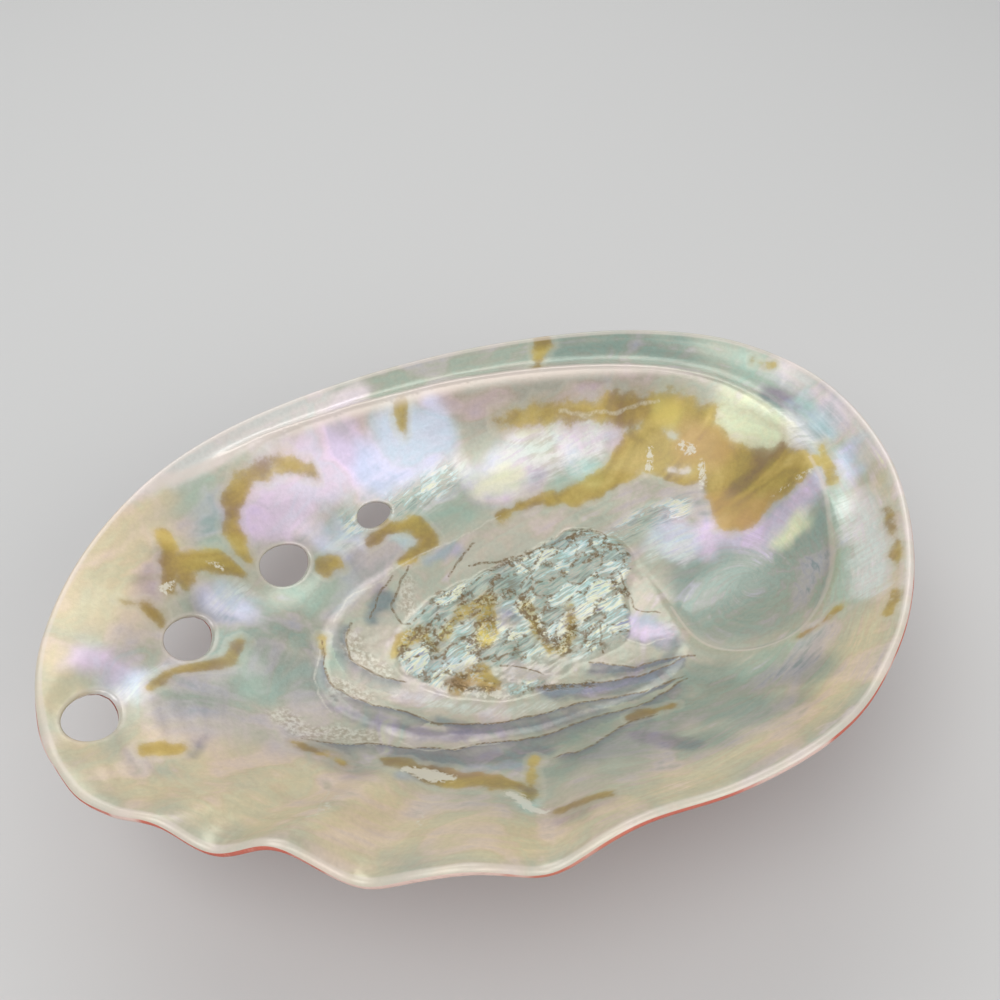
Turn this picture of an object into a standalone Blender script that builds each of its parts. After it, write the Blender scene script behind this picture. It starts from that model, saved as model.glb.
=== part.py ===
"""Abalone shell lying on its back with the pearly side up, as one closed thin-walled solid.

Metres, +Z up. +X runs to the spire end and +Y to the columella side. The origin is under the middle of the
outline, on the flat spot that the shell rests on. The inside and the outside are two sheets over the same
plan outline. They join round the lip and round each breathing hole.
"""

import math

import bpy
import numpy as np
from mathutils import Vector
from mathutils.geometry import delaunay_2d_cdt

# Overall form
BOWL_DEPTH = 0.036
FLOOR_WALL = 0.0036
LIP_WALL = 0.0017
WALL_TAPER = 2.2
LIP_INSET = 0.0014
FLAT_CUT = 0.0007
RIM_Z = BOWL_DEPTH + FLOOR_WALL - FLAT_CUT
BOWL_CENTRE = (0.008, 0.002)
BOWL_POWER = 2.0
COLUMELLA_POWER_DROP = 0.2
COLUMELLA_DIRECTION = math.radians(100)
BOWL_FLARE = 1.08
FLARE_GAIN = 0.17
FLARE_DIRECTION = math.radians(-135)

# The lip seen from above, clockwise from the head end
OUTLINE = (
    (-0.0898, 0.0085), (-0.0853, 0.0252), (-0.0730, 0.0430), (-0.0550, 0.0570), (-0.0340, 0.0640),
    (-0.0080, 0.0653), (0.0200, 0.0620), (0.0470, 0.0540), (0.0680, 0.0430), (0.0833, 0.0272),
    (0.0893, 0.0050), (0.0824, -0.0200), (0.0661, -0.0411), (0.0440, -0.0571), (0.0180, -0.0650),
    (-0.0102, -0.0611), (-0.0330, -0.0572), (-0.0520, -0.0477), (-0.0664, -0.0345), (-0.0742, -0.0273),
    (-0.0793, -0.0205), (-0.0848, -0.0141), (-0.0887, -0.0062),
)

# Folds of the growing lip: (direction from the bowl's centre in degrees, half width in degrees, height)
LIP_FOLDS = (
    (-166, 3.6, 0.0016), (-160.5, 3.2, -0.0018), (-153.5, 4.0, 0.0042), (-145, 3.8, -0.0030),
    (-134, 5.5, 0.0024), (-124, 4.5, -0.0030), (-113, 6.5, 0.0018), (-98, 7.0, -0.0010),
    (-82, 7.0, 0.0012), (-68, 6.0, -0.0008),
)
FOLD_REACH = 3.2

# The inner edge of the columella shelf, from the head end round the spire's pit, seen from above
RIDGE = (
    (-0.0560, 0.0546), (-0.0330, 0.0571), (-0.0070, 0.0559), (0.0180, 0.0515), (0.0360, 0.0457),
    (0.0510, 0.0390), (0.0640, 0.0305), (0.0725, 0.0205), (0.0763, 0.0080), (0.0752, -0.0030),
    (0.0715, -0.0140), (0.0650, -0.0235), (0.0576, -0.0313), (0.0490, -0.0366), (0.0409, -0.0385),
    (0.0345, -0.0348), (0.0316, -0.0280), (0.0319, -0.0206), (0.0346, -0.0110),
)
RIDGE_STARTS = 0.07
RIDGE_HOLDS_UNTIL = 0.52
RIDGE_FADES_BY = 0.68
RIDGE_DEPTH = 0.0010
RIDGE_DROP = 0.0300
RIDGE_DROP_POWER = 2.2
SHELF_BEND = 0.8
SHELF_DISH = 0.0012
SHELF_BEAD = 0.0006
SHELF_BEAD_WIDTH = 0.0020
WALL_FOOT = 0.0048
WALL_BEND = 1.3

# The spire: a pit inside, sharp where the shelf's edge curls round it, and a low coil outside
APEX = (0.0510, -0.0175)
PIT_DEPTH = 0.0044
PIT_RADIUS = 0.0190
PIT_POWER = 3.0
PIT_EDGE = 0.0012
PIT_TIP_SPREAD = 0.8
SPIRE_DEPTH = 0.0044
SPIRE_RADIUS = 0.0190
SUTURE_START = 0.0011
SUTURE_GROWTH = 0.235
SUTURE_DEPTH = 0.0011
SUTURE_WIDTH = 0.15
SUTURE_REACH = 0.0210

# Breathing holes: (x, y, half length, half width, turn in degrees), the newest first
HOLES = (
    (-0.0815, 0.0084, 0.0061, 0.0045, 58),
    (-0.0609, 0.0233, 0.0061, 0.0042, 43),
    (-0.0362, 0.0362, 0.0064, 0.0043, 22),
    (-0.0122, 0.0413, 0.0047, 0.0026, 2),
)
HOLE_EGG = 0.12
HOLE_ROW = (
    (-0.0960, -0.0060), (-0.0815, 0.0084), (-0.0609, 0.0233), (-0.0362, 0.0362), (-0.0122, 0.0413),
    (0.0100, 0.0412), (0.0300, 0.0360), (0.0480, 0.0250), (0.0600, 0.0090), (0.0640, -0.0070),
    (0.0600, -0.0180),
)
ROW_GROOVE = 0.0008
ROW_GROOVE_WIDTH = 0.0048
ROW_KEEL = 0.0019
ROW_KEEL_WIDTH = 0.0058
HOLE_WALL = 0.0022
HOLE_FUNNEL = 0.0009
HOLE_COLLAR = 0.0012
HOLE_COLLAR_WIDTH = 0.0030
HOLE_FLARE = 1.12
EDGE_BULGE = 0.0009
CLOSED_HOLES = 7
CLOSED_HOLES_FROM = 0.49
CLOSED_HOLES_SPAN = 0.49
CLOSED_HOLE_SHRINK = 0.86
CLOSED_HOLE_HEIGHT = 0.0015
CLOSED_HOLE_WIDTH = 0.0042
CLOSED_HOLE_DIMPLE = 0.45

# The muscle scar in the floor of the bowl: a low plateau with a rough patch on it
SCAR = (
    (-0.0415, 0.0040), (-0.0350, 0.0190), (-0.0200, 0.0280), (0.0010, 0.0300), (0.0210, 0.0295),
    (0.0340, 0.0215), (0.0370, 0.0080), (0.0345, -0.0080), (0.0300, -0.0200), (0.0200, -0.0265),
    (0.0020, -0.0245), (-0.0170, -0.0200), (-0.0330, -0.0120),
)
SCAR_RISE = 0.0006
ROUGH_PATCH = (
    (-0.0250, 0.0070), (-0.0170, 0.0165), (-0.0030, 0.0200), (0.0150, 0.0195), (0.0290, 0.0190),
    (0.0365, 0.0080), (0.0285, -0.0020), (0.0220, -0.0110), (0.0080, -0.0105), (-0.0060, -0.0120),
    (-0.0190, -0.0045),
)
ROUGH_RISE = 0.0009
ROUGH_LUMP = 0.0007
ROUGH_LUMP_SIZE = 0.0085
SCAR_EDGE = 0.0014

# Ornament of the outside
GROWTH_TWIST = 0.45
GROWTH_RINGS = ((0.86, 0.0009), (0.73, 0.0012), (0.59, 0.0010), (0.45, 0.0009), (0.33, 0.0007))
RING_WIDTH = 0.026
CORDS = 26
CORD_HEIGHT = 0.0004
CORD_EXPANSION = 0.72
LUMP_HEIGHT = 0.0005
LUMP_SIZE = 0.022
RELIEF_FADE = (0.97, 0.80)

# Mesh spacing
LIP_POINTS = 150
HOLE_POINTS = 16
INSIDE_SPACING = 0.0042
SCAR_SPACING = 0.0026
SCAR_MARGIN = 1.03
OUTSIDE_SPACING = 0.0038
RIDGE_SPACING = 0.0026
RIDGE_ROWS = (-0.0032, -0.0014, 0.0, 0.0016, 0.0034, 0.0058)
BORDER_CLEARANCE = 0.55
LIP_STEPS = 3

# Puts the origin under the middle of the finished shell
CENTRING = (0.00045, -0.00020, 0.0)

SHELL_COLOUR = (0.62, 0.36, 0.28, 1.0)
SHELL_ROUGHNESS = 0.45


def spline(points, count, closed):
    """Catmull-Rom curve through the points, as count rows."""
    points = np.asarray(points, float)
    if closed:
        padded = np.vstack([points[-1:], points, points[:2]])
        spans = len(points)
    else:
        padded = np.vstack([2 * points[:1] - points[1:2], points, 2 * points[-1:] - points[-2:-1]])
        spans = len(points) - 1
    u = np.linspace(0, spans, count, endpoint=not closed)
    i = np.minimum(u.astype(int), spans - 1)
    t = (u - i)[:, None]
    a, b, c, d = padded[i], padded[i + 1], padded[i + 2], padded[i + 3]
    return 0.5 * (2 * b + (c - a) * t + (2 * a - 5 * b + 4 * c - d) * t**2 + (3 * b - a - 3 * c + d) * t**3)


def inset(curve, amount):
    """A clockwise closed curve moved inwards."""
    along = np.roll(curve, -1, axis=0) - np.roll(curve, 1, axis=0)
    along /= np.linalg.norm(along, axis=1)[:, None]
    return curve + amount * np.column_stack([along[:, 1], -along[:, 0]])


LIP_CURVE = inset(spline(OUTLINE, 900, closed=True), LIP_INSET)
RIDGE_CURVE = spline(RIDGE, 500, closed=False)
ROW_CURVE = spline(HOLE_ROW, 240, closed=False)
SCAR_CURVE = spline(SCAR, 160, closed=True)
ROUGH_CURVE = spline(ROUGH_PATCH, 140, closed=True)


def smooth(low, high, value):
    """0 below low, 1 above high, and a smooth step between."""
    t = np.clip((value - low) / (high - low), 0, 1)
    return t * t * (3 - 2 * t)


def bell(distance, width):
    return np.exp(-((distance / width) ** 2))


def polar(x, y, centre):
    dx, dy = x - centre[0], y - centre[1]
    return np.hypot(dx, dy), np.arctan2(dy, dx)


def lip_radius(angle, centre):
    """Distance from centre to the lip in each direction."""
    r, a = polar(LIP_CURVE[:, 0], LIP_CURVE[:, 1], centre)
    order = np.argsort(a)
    turns = np.concatenate([a[order] - 2 * np.pi, a[order], a[order] + 2 * np.pi])
    return np.interp(angle, turns, np.tile(r[order], 3))


def nearest(curve, x, y):
    """(distance, share of the way along, side) of each point to a curve. Side is positive on its right."""
    distance, share, side = np.empty(len(x)), np.empty(len(x)), np.empty(len(x))
    tangent = np.gradient(curve, axis=0)
    tangent /= np.linalg.norm(tangent, axis=1)[:, None]
    last = len(curve) - 1
    step = np.linalg.norm(np.diff(curve, axis=0), axis=1).mean()
    for start in range(0, len(x), 4000):
        part = slice(start, start + 4000)
        dx = x[part, None] - curve[None, :, 0]
        dy = y[part, None] - curve[None, :, 1]
        squared = dx**2 + dy**2
        best = squared.argmin(axis=1)
        row = np.arange(len(best))
        cross = tangent[best, 0] * dy[row, best] - tangent[best, 1] * dx[row, best]
        along = tangent[best, 0] * dx[row, best] + tangent[best, 1] * dy[row, best]
        # Between the curve's samples the true distance is the one square to it.
        at_end = (best == 0) | (best == last)
        distance[part] = np.where(at_end, np.sqrt(squared[row, best]), np.abs(cross))
        share[part] = np.clip(best + along / step, 0, last) / last
        side[part] = -np.sign(cross)
    return distance, share, side


def inside(curve, x, y):
    """True where a point is inside a closed curve, by counting crossings."""
    found = np.zeros(len(x), bool)
    for (x0, y0), (x1, y1) in zip(curve, np.roll(curve, -1, axis=0)):
        spans = (y0 > y) != (y1 > y)
        found ^= spans & (x < (x1 - x0) * (y - y0) / (y1 - y0 + 1e-15) + x0)
    return found


def waves(x, y, wavelength, seed):
    """Smooth irregular waves between about -1 and 1, a sum of sines in seeded directions."""
    chance = np.random.default_rng(seed)
    total = np.zeros_like(x)
    for _ in range(7):
        turn, phase = chance.uniform(0, 2 * np.pi, 2)
        number = 2 * np.pi / (wavelength * chance.uniform(0.7, 1.5))
        total += np.sin(number * (x * math.cos(turn) + y * math.sin(turn)) + phase)
    return total / 4


def lip_fold(angle):
    total = np.zeros_like(angle)
    for centre, half, height in LIP_FOLDS:
        off = (np.degrees(angle) - centre + 180) % 360 - 180
        total += height * bell(off, half)
    return total


def bowl(x, y):
    """Height of the plain bowl, with the folds of its lip."""
    r, angle = polar(x, y, BOWL_CENTRE)
    share = np.clip(r / lip_radius(angle, BOWL_CENTRE), 0, 1)
    power = BOWL_POWER - COLUMELLA_POWER_DROP * np.cos(angle - COLUMELLA_DIRECTION)
    flare = BOWL_FLARE + FLARE_GAIN * np.cos(angle - FLARE_DIRECTION)
    depth = BOWL_DEPTH * (1 - share**power) ** flare
    return RIM_Z + lip_fold(angle) * share**FOLD_REACH - depth


def wall_base(x, y):
    """The bowl with the soft hollow of the spire, which the outside follows."""
    return bowl(x, y) - SPIRE_DEPTH * bell(polar(x, y, APEX)[0], SPIRE_RADIUS)


def pit(x, y):
    """Depth of the pit, which ends sharply at the shelf's edge and softly past the edge's tip."""
    distance, share, side = nearest(RIDGE_CURVE, x, y)
    tip = RIDGE_CURVE[-1]
    ahead = tip - RIDGE_CURVE[-5]
    ahead = ahead / np.linalg.norm(ahead)
    dx, dy = x - tip[0], y - tip[1]
    past = np.maximum(dx * ahead[0] + dy * ahead[1], 0)
    at_tip = share > 0.999
    signed = np.where(at_tip, dx * ahead[1] - dy * ahead[0], side * distance)
    width = PIT_EDGE + np.where(at_tip, PIT_TIP_SPREAD * past, 0)
    reach = np.exp(-((polar(x, y, APEX)[0] / PIT_RADIUS) ** PIT_POWER))
    return PIT_DEPTH * smooth(-width, width, signed) * reach


def shelved(x, y, floor):
    """The bowl's height with the columella shelf laid along the lip, up to its inner edge."""
    distance, share, side = nearest(RIDGE_CURVE, x, y)
    edge_depth = RIDGE_DEPTH + RIDGE_DROP * share**RIDGE_DROP_POWER
    r, angle = polar(x, y, BOWL_CENTRE)
    to_lip = np.clip(lip_radius(angle, BOWL_CENTRE) - r, 0, None)
    across = to_lip / (to_lip + distance + 1e-9)
    hold = 1 - smooth(RIDGE_HOLDS_UNTIL, RIDGE_FADES_BY, share)
    starts = smooth(0.0, RIDGE_STARTS, share)
    shelf = RIM_Z - edge_depth * across**SHELF_BEND - SHELF_DISH * starts * np.sin(np.pi * across) ** 2
    falls = 1 - np.exp(-((distance / WALL_FOOT) ** WALL_BEND))
    edge = RIM_Z - edge_depth
    wall = edge + (floor - edge) * falls
    raised = np.where(side > 0, wall, shelf)
    bead = SHELF_BEAD * bell(distance, SHELF_BEAD_WIDTH) * starts
    return floor + (raised + bead - floor) * hold * starts


def within(curve, x, y, edge):
    """1 inside a closed curve and 0 outside it, with a smooth step over the edge."""
    distance = nearest(curve, x, y)[0]
    return smooth(-edge, edge, np.where(inside(curve, x, y), distance, -distance))


def scar_height(x, y):
    """The muscle scar's rise over the floor, with low lumps on its rough patch."""
    lumps = ROUGH_LUMP * waves(x, y, ROUGH_LUMP_SIZE, 5)
    rough = within(ROUGH_CURVE, x, y, SCAR_EDGE) * (ROUGH_RISE + lumps)
    return SCAR_RISE * within(SCAR_CURVE, x, y, SCAR_EDGE) + rough


def beyond_hole(hole, x, y):
    """Rough distance outside a breathing hole's edge."""
    return np.maximum(hole_shape(hole, x, y) - 1, 0) * hole[3]


def inner_height(x, y):
    row = nearest(ROW_CURVE, x, y)[0]
    groove = ROW_GROOVE * bell(row, ROW_GROOVE_WIDTH)
    for hole in HOLES:
        groove = groove + HOLE_FUNNEL * bell(beyond_hole(hole, x, y), HOLE_COLLAR_WIDTH)
    return shelved(x, y, bowl(x, y) - groove - pit(x, y)) + scar_height(x, y)


def growth(x, y):
    """How grown the shell was when its lip passed each point: 0 at the apex and 1 at today's lip."""
    r, angle = polar(x, y, APEX)
    age = r / lip_radius(angle, APEX)
    for _ in range(4):
        age = r / lip_radius(angle + GROWTH_TWIST * np.log(np.clip(age, 0.05, 1)), APEX)
    return np.clip(age, 0, 1)


def suture(x, y):
    """Depth of the groove between the coils of the spire."""
    r, angle = polar(x, y, APEX)
    turns = angle / (2 * np.pi) - np.log(np.maximum(r, 1e-5) / SUTURE_START) / (SUTURE_GROWTH * 2 * np.pi)
    off = np.abs(turns - np.round(turns))
    fade = smooth(SUTURE_REACH, 0.6 * SUTURE_REACH, r) * smooth(0.4 * SUTURE_START, 2.4 * SUTURE_START, r)
    return SUTURE_DEPTH * bell(off, SUTURE_WIDTH) * fade


def hole_shape(hole, x, y):
    """Distance from a breathing hole's middle as a share of its edge, which is slightly egg-shaped."""
    cx, cy, length, width, turn = hole
    c, s = math.cos(math.radians(turn)), math.sin(math.radians(turn))
    along = ((x - cx) * c + (y - cy) * s) / length
    across = (-(x - cx) * s + (y - cy) * c) / (width * (1 - HOLE_EGG * along))
    return np.hypot(along, across)


def closed_hole_height(x, y):
    """The filled older holes of the row, which shrink and crowd towards the spire."""
    total = np.zeros_like(x)
    for k in range(CLOSED_HOLES):
        size = CLOSED_HOLE_SHRINK**k
        share = CLOSED_HOLES_FROM + CLOSED_HOLES_SPAN * (1 - size)
        r = polar(x, y, ROW_CURVE[int(share * (len(ROW_CURVE) - 1))])[0]
        width = CLOSED_HOLE_WIDTH * size
        mound = bell(r, width) - CLOSED_HOLE_DIMPLE * bell(r, CLOSED_HOLE_DIMPLE * width)
        total += CLOSED_HOLE_HEIGHT * size * mound
    return total


def outer_relief(x, y):
    """How far the outside stands out from the plain wall: keel, collars, coil, cords, rings and lumps."""
    row = nearest(ROW_CURVE, x, y)[0]
    r, angle = polar(x, y, APEX)
    age = growth(x, y)
    relief = ROW_KEEL * bell(row, ROW_KEEL_WIDTH) * smooth(0.05, 0.3, age)
    relief += closed_hole_height(x, y) - suture(x, y)
    spiral = angle - np.log(np.maximum(r, 1e-4)) / CORD_EXPANSION
    relief += CORD_HEIGHT * np.cos(CORDS * spiral) * smooth(0.15, 0.35, age)
    for at, height in GROWTH_RINGS:
        relief += height * bell(age - at, RING_WIDTH)
    relief += LUMP_HEIGHT * waves(x, y, LUMP_SIZE, 11)
    relief *= smooth(*RELIEF_FADE, age)
    for hole in HOLES:
        near = bell(beyond_hole(hole, x, y), HOLE_COLLAR_WIDTH)
        relief += near * (HOLE_COLLAR + HOLE_WALL - wall(x, y) - relief)
    return relief


def wall(x, y):
    """Thickness of the plain wall, thin at the lip and thick in the floor."""
    r, angle = polar(x, y, BOWL_CENTRE)
    share = np.clip(r / lip_radius(angle, BOWL_CENTRE), 0, 1)
    return FLOOR_WALL + (LIP_WALL - FLOOR_WALL) * share**WALL_TAPER


def base_normals(x, y):
    """Upward unit normals of the wall's base."""
    step = 0.0004
    dzdx = (wall_base(x + step, y) - wall_base(x - step, y)) / (2 * step)
    dzdy = (wall_base(x, y + step) - wall_base(x, y - step)) / (2 * step)
    share = polar(x, y, BOWL_CENTRE)[0] / lip_radius(polar(x, y, BOWL_CENTRE)[1], BOWL_CENTRE)
    # Past the lip the bowl is undefined, so slopes there are read just inside it.
    near = share > 0.985
    if near.any():
        cx, cy = BOWL_CENTRE
        pull = (0.98 / share[near])[:, None]
        moved = (np.column_stack([x[near], y[near]]) - (cx, cy)) * pull + (cx, cy)
        mx, my = moved.T
        dzdx[near] = (wall_base(mx + step, my) - wall_base(mx - step, my)) / (2 * step)
        dzdy[near] = (wall_base(mx, my + step) - wall_base(mx, my - step)) / (2 * step)
    normals = np.column_stack([-dzdx, -dzdy, np.ones(len(x))])
    return normals / np.linalg.norm(normals, axis=1)[:, None]


def inner_points(plan):
    x, y = plan.T
    return np.column_stack([x, y, inner_height(x, y)])


def outer_points(plan):
    """The outside sheet: the base pushed out along its normals, and cut flat where it rests."""
    x, y = plan.T
    base = np.column_stack([x, y, wall_base(x, y)])
    thickness = wall(x, y) + outer_relief(x, y)
    points = base - base_normals(x, y) * thickness[:, None]
    points[:, 2] = np.maximum(points[:, 2], 0)
    return points


def hole_plan(hole, count, flare):
    """The edge of a breathing hole seen from above, anticlockwise."""
    cx, cy, length, width, turn = hole
    length, width = length * flare, width * flare
    t = np.linspace(0, 2 * np.pi, count, endpoint=False)
    along = np.cos(t)
    across = np.sin(t) * (1 - HOLE_EGG * along) * width
    c, s = math.cos(math.radians(turn)), math.sin(math.radians(turn))
    return np.column_stack([cx + along * length * c - across * s, cy + along * length * s + across * c])


def even_loop(curve, count):
    """count points spaced evenly along a closed curve."""
    closed = np.vstack([curve, curve[:1]])
    travelled = np.concatenate([[0], np.cumsum(np.linalg.norm(np.diff(closed, axis=0), axis=1))])
    at = np.linspace(0, travelled[-1], count, endpoint=False)
    return np.column_stack([np.interp(at, travelled, closed[:, k]) for k in range(2)])


def lattice(spacing):
    """Points of a triangular lattice over the outline's box."""
    low, high = LIP_CURVE.min(0), LIP_CURVE.max(0)
    rows = np.arange(low[1], high[1], spacing * math.sqrt(3) / 2)
    points = []
    for k, y in enumerate(rows):
        x = np.arange(low[0] + (k % 2) * spacing / 2, high[0], spacing)
        points.append(np.column_stack([x, np.full(len(x), y)]))
    return np.vstack(points)


def ridge_rows(offsets, spacing):
    """Points along the shelf's inner edge and beside it."""
    steps = np.linalg.norm(np.diff(RIDGE_CURVE, axis=0), axis=1).sum() / spacing
    curve = spline(RIDGE, int(steps), closed=False)
    tangent = np.gradient(curve, axis=0)
    tangent /= np.linalg.norm(tangent, axis=1)[:, None]
    right = np.column_stack([tangent[:, 1], -tangent[:, 0]])
    return np.vstack([curve + right * offset for offset in offsets])


def scar_lattice():
    points = lattice(SCAR_SPACING)
    return points[inside(SCAR_CURVE * SCAR_MARGIN, points[:, 0], points[:, 1])]


def spread(points, keep, apart):
    """keep, with each of the points that is clear of all of keep."""
    clear = np.array([np.min(np.sum((keep - p) ** 2, axis=1)) > apart**2 for p in points])
    return np.vstack([keep, points[clear]])


def sheet_plan(loops, spacing, extra):
    """(points, triangles) over the lip's inside, less the holes. The loops' points come first, in order."""
    border = np.vstack(loops)
    points = spread(extra, border, BORDER_CLEARANCE * RIDGE_SPACING)
    points = spread(lattice(spacing), points, BORDER_CLEARANCE * spacing)
    keep = inside(loops[0], points[:, 0], points[:, 1])
    for loop in loops[1:]:
        keep &= ~inside(loop, points[:, 0], points[:, 1])
    keep[: len(border)] = True
    points = points[keep]
    edges, start = [], 0
    for loop in loops:
        n = len(loop)
        edges += [(start + i, start + (i + 1) % n) for i in range(n)]
        start += n
    made = delaunay_2d_cdt([Vector(p) for p in points], edges, [], 0, 1e-9)
    plan = np.array([tuple(v) for v in made[0]])
    faces = np.array(made[2])
    middle = plan[faces].mean(axis=1)
    kept = inside(loops[0], middle[:, 0], middle[:, 1])
    for loop in loops[1:]:
        kept &= ~inside(loop, middle[:, 0], middle[:, 1])
    faces = faces[kept]
    a, b, c = plan[faces[:, 0]], plan[faces[:, 1]], plan[faces[:, 2]]
    turned = (b[:, 0] - a[:, 0]) * (c[:, 1] - a[:, 1]) - (b[:, 1] - a[:, 1]) * (c[:, 0] - a[:, 0]) < 0
    faces[turned] = faces[turned][:, ::-1]
    return plan, faces


def edge_rings(top, bottom, outward, steps):
    """Rings between two loops that bulge outward, as a rounded edge does."""
    rings = []
    half = np.minimum(np.linalg.norm(top - bottom, axis=1)[:, None] / 2, EDGE_BULGE)
    for k in range(1, steps):
        t = np.pi * k / steps
        rings.append((top + bottom) / 2 + (top - bottom) / 2 * math.cos(t) + outward * half * math.sin(t))
    return rings


def outward_of(loop, normals):
    """Unit vectors from the sheet's material across its edge, square to its normals."""
    along = np.roll(loop, -1, axis=0) - np.roll(loop, 1, axis=0)
    out = np.cross(normals, along)
    return out / np.linalg.norm(out, axis=1)[:, None]


def build_shell():
    """The whole shell's points and triangles."""
    lip = even_loop(LIP_CURVE, LIP_POINTS)
    in_loops = [lip] + [hole_plan(hole, HOLE_POINTS, 1) for hole in HOLES]
    out_loops = [lip] + [hole_plan(hole, HOLE_POINTS, HOLE_FLARE) for hole in HOLES]
    detail = np.vstack([ridge_rows(RIDGE_ROWS, RIDGE_SPACING), scar_lattice()])
    in_plan, in_faces = sheet_plan(in_loops, INSIDE_SPACING, detail)
    coil = spline(HOLE_ROW, 46, closed=False)
    out_plan, out_faces = sheet_plan(out_loops, OUTSIDE_SPACING, coil)
    inner, outer = inner_points(in_plan), outer_points(out_plan)
    points = [inner, outer]
    faces = [in_faces, out_faces[:, ::-1] + len(inner)]
    total, start = len(inner) + len(outer), 0
    for loop in in_loops:
        n = len(loop)
        ids = np.arange(start, start + n)
        top, bottom = inner[ids], outer[ids]
        outward = outward_of(top, base_normals(*loop.T))
        rings = edge_rings(top, bottom, outward, LIP_STEPS)
        rows = [ids]
        for ring in rings:
            points.append(ring)
            rows.append(np.arange(total, total + n))
            total += n
        rows.append(ids + len(inner))
        for upper, lower in zip(rows, rows[1:]):
            nu, nl = np.roll(upper, -1), np.roll(lower, -1)
            faces.append(np.column_stack([upper, nl, lower]))
            faces.append(np.column_stack([upper, nu, nl]))
        start += n
    return np.vstack(points) + CENTRING, np.vstack(faces)


def shell_material():
    material = bpy.data.materials.new("shell")
    material.use_nodes = True
    surface = material.node_tree.nodes["Principled BSDF"]
    surface.inputs["Base Color"].default_value = SHELL_COLOUR
    surface.inputs["Roughness"].default_value = SHELL_ROUGHNESS
    surface.inputs["Metallic"].default_value = 0.0
    return material


def main():
    for old in list(bpy.data.objects):
        bpy.data.objects.remove(old)
    points, faces = build_shell()
    mesh = bpy.data.meshes.new("shell")
    mesh.from_pydata(points.tolist(), [], faces.tolist())
    mesh.validate()
    mesh.shade_smooth()
    mesh.materials.append(shell_material())
    shell = bpy.data.objects.new("shell", mesh)
    bpy.context.scene.collection.objects.link(shell)


main()
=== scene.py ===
"""Looks of an abalone shell lying with its pearly side up. Metres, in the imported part's frame."""

import math

import bpy
import numpy as np
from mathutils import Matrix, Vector, noise
from mathutils.geometry import delaunay_2d_cdt
from mathutils.kdtree import KDTree


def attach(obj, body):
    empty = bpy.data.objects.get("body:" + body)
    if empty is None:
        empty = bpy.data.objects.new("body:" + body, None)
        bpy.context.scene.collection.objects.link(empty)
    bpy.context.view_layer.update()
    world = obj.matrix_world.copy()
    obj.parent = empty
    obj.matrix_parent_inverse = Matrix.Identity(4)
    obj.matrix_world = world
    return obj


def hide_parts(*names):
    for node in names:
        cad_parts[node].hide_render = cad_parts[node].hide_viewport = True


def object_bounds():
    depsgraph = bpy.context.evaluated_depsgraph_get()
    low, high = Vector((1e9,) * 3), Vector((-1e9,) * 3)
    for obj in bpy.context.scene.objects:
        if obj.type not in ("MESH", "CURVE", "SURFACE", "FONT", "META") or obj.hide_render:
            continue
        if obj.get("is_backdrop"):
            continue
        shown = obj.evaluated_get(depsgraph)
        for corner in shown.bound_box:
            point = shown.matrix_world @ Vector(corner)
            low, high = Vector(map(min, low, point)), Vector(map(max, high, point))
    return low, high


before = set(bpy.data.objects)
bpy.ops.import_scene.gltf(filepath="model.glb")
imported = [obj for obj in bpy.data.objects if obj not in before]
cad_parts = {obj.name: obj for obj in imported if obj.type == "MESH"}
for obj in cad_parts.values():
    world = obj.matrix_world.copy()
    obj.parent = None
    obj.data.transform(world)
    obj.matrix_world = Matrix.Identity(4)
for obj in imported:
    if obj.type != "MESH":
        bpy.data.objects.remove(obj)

CAD_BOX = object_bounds()
MM = 0.001
# Farther than any mark reaches, in millimetres
FAR = 50.0

# Camera, at the photograph's angle
CAMERA_PLACE = (-0.07215, -0.10750, 0.1750)
CAMERA_TURN = (46.0, 0.0, -32.5)
CAMERA_LENS = 34.56

# Overall form, as in the part
BOWL_DEPTH = 0.036
FLOOR_WALL = 0.0036
LIP_WALL = 0.0017
WALL_TAPER = 2.2
LIP_INSET = 0.0014
FLAT_CUT = 0.0007
RIM_Z = BOWL_DEPTH + FLOOR_WALL - FLAT_CUT
BOWL_CENTRE = (0.008, 0.002)
BOWL_POWER = 2.0
COLUMELLA_POWER_DROP = 0.2
COLUMELLA_DIRECTION = math.radians(100)
BOWL_FLARE = 1.08
FLARE_GAIN = 0.17
FLARE_DIRECTION = math.radians(-135)
CENTRING = (0.00045, -0.00020, 0.0)

# The lip seen from above, clockwise from the head end
OUTLINE = (
    (-0.0898, 0.0085), (-0.0853, 0.0252), (-0.0730, 0.0430), (-0.0550, 0.0570), (-0.0340, 0.0640),
    (-0.0080, 0.0653), (0.0200, 0.0620), (0.0470, 0.0540), (0.0680, 0.0430), (0.0833, 0.0272),
    (0.0893, 0.0050), (0.0824, -0.0200), (0.0661, -0.0411), (0.0440, -0.0571), (0.0180, -0.0650),
    (-0.0102, -0.0611), (-0.0330, -0.0572), (-0.0520, -0.0477), (-0.0664, -0.0345), (-0.0742, -0.0273),
    (-0.0793, -0.0205), (-0.0848, -0.0141), (-0.0887, -0.0062),
)

# Folds of the growing lip: (direction from the bowl's centre in degrees, half width in degrees, height)
LIP_FOLDS = (
    (-166, 3.6, 0.0016), (-160.5, 3.2, -0.0018), (-153.5, 4.0, 0.0042), (-145, 3.8, -0.0030),
    (-134, 5.5, 0.0024), (-124, 4.5, -0.0030), (-113, 6.5, 0.0018), (-98, 7.0, -0.0010),
    (-82, 7.0, 0.0012), (-68, 6.0, -0.0008),
)
FOLD_REACH = 3.2

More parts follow.
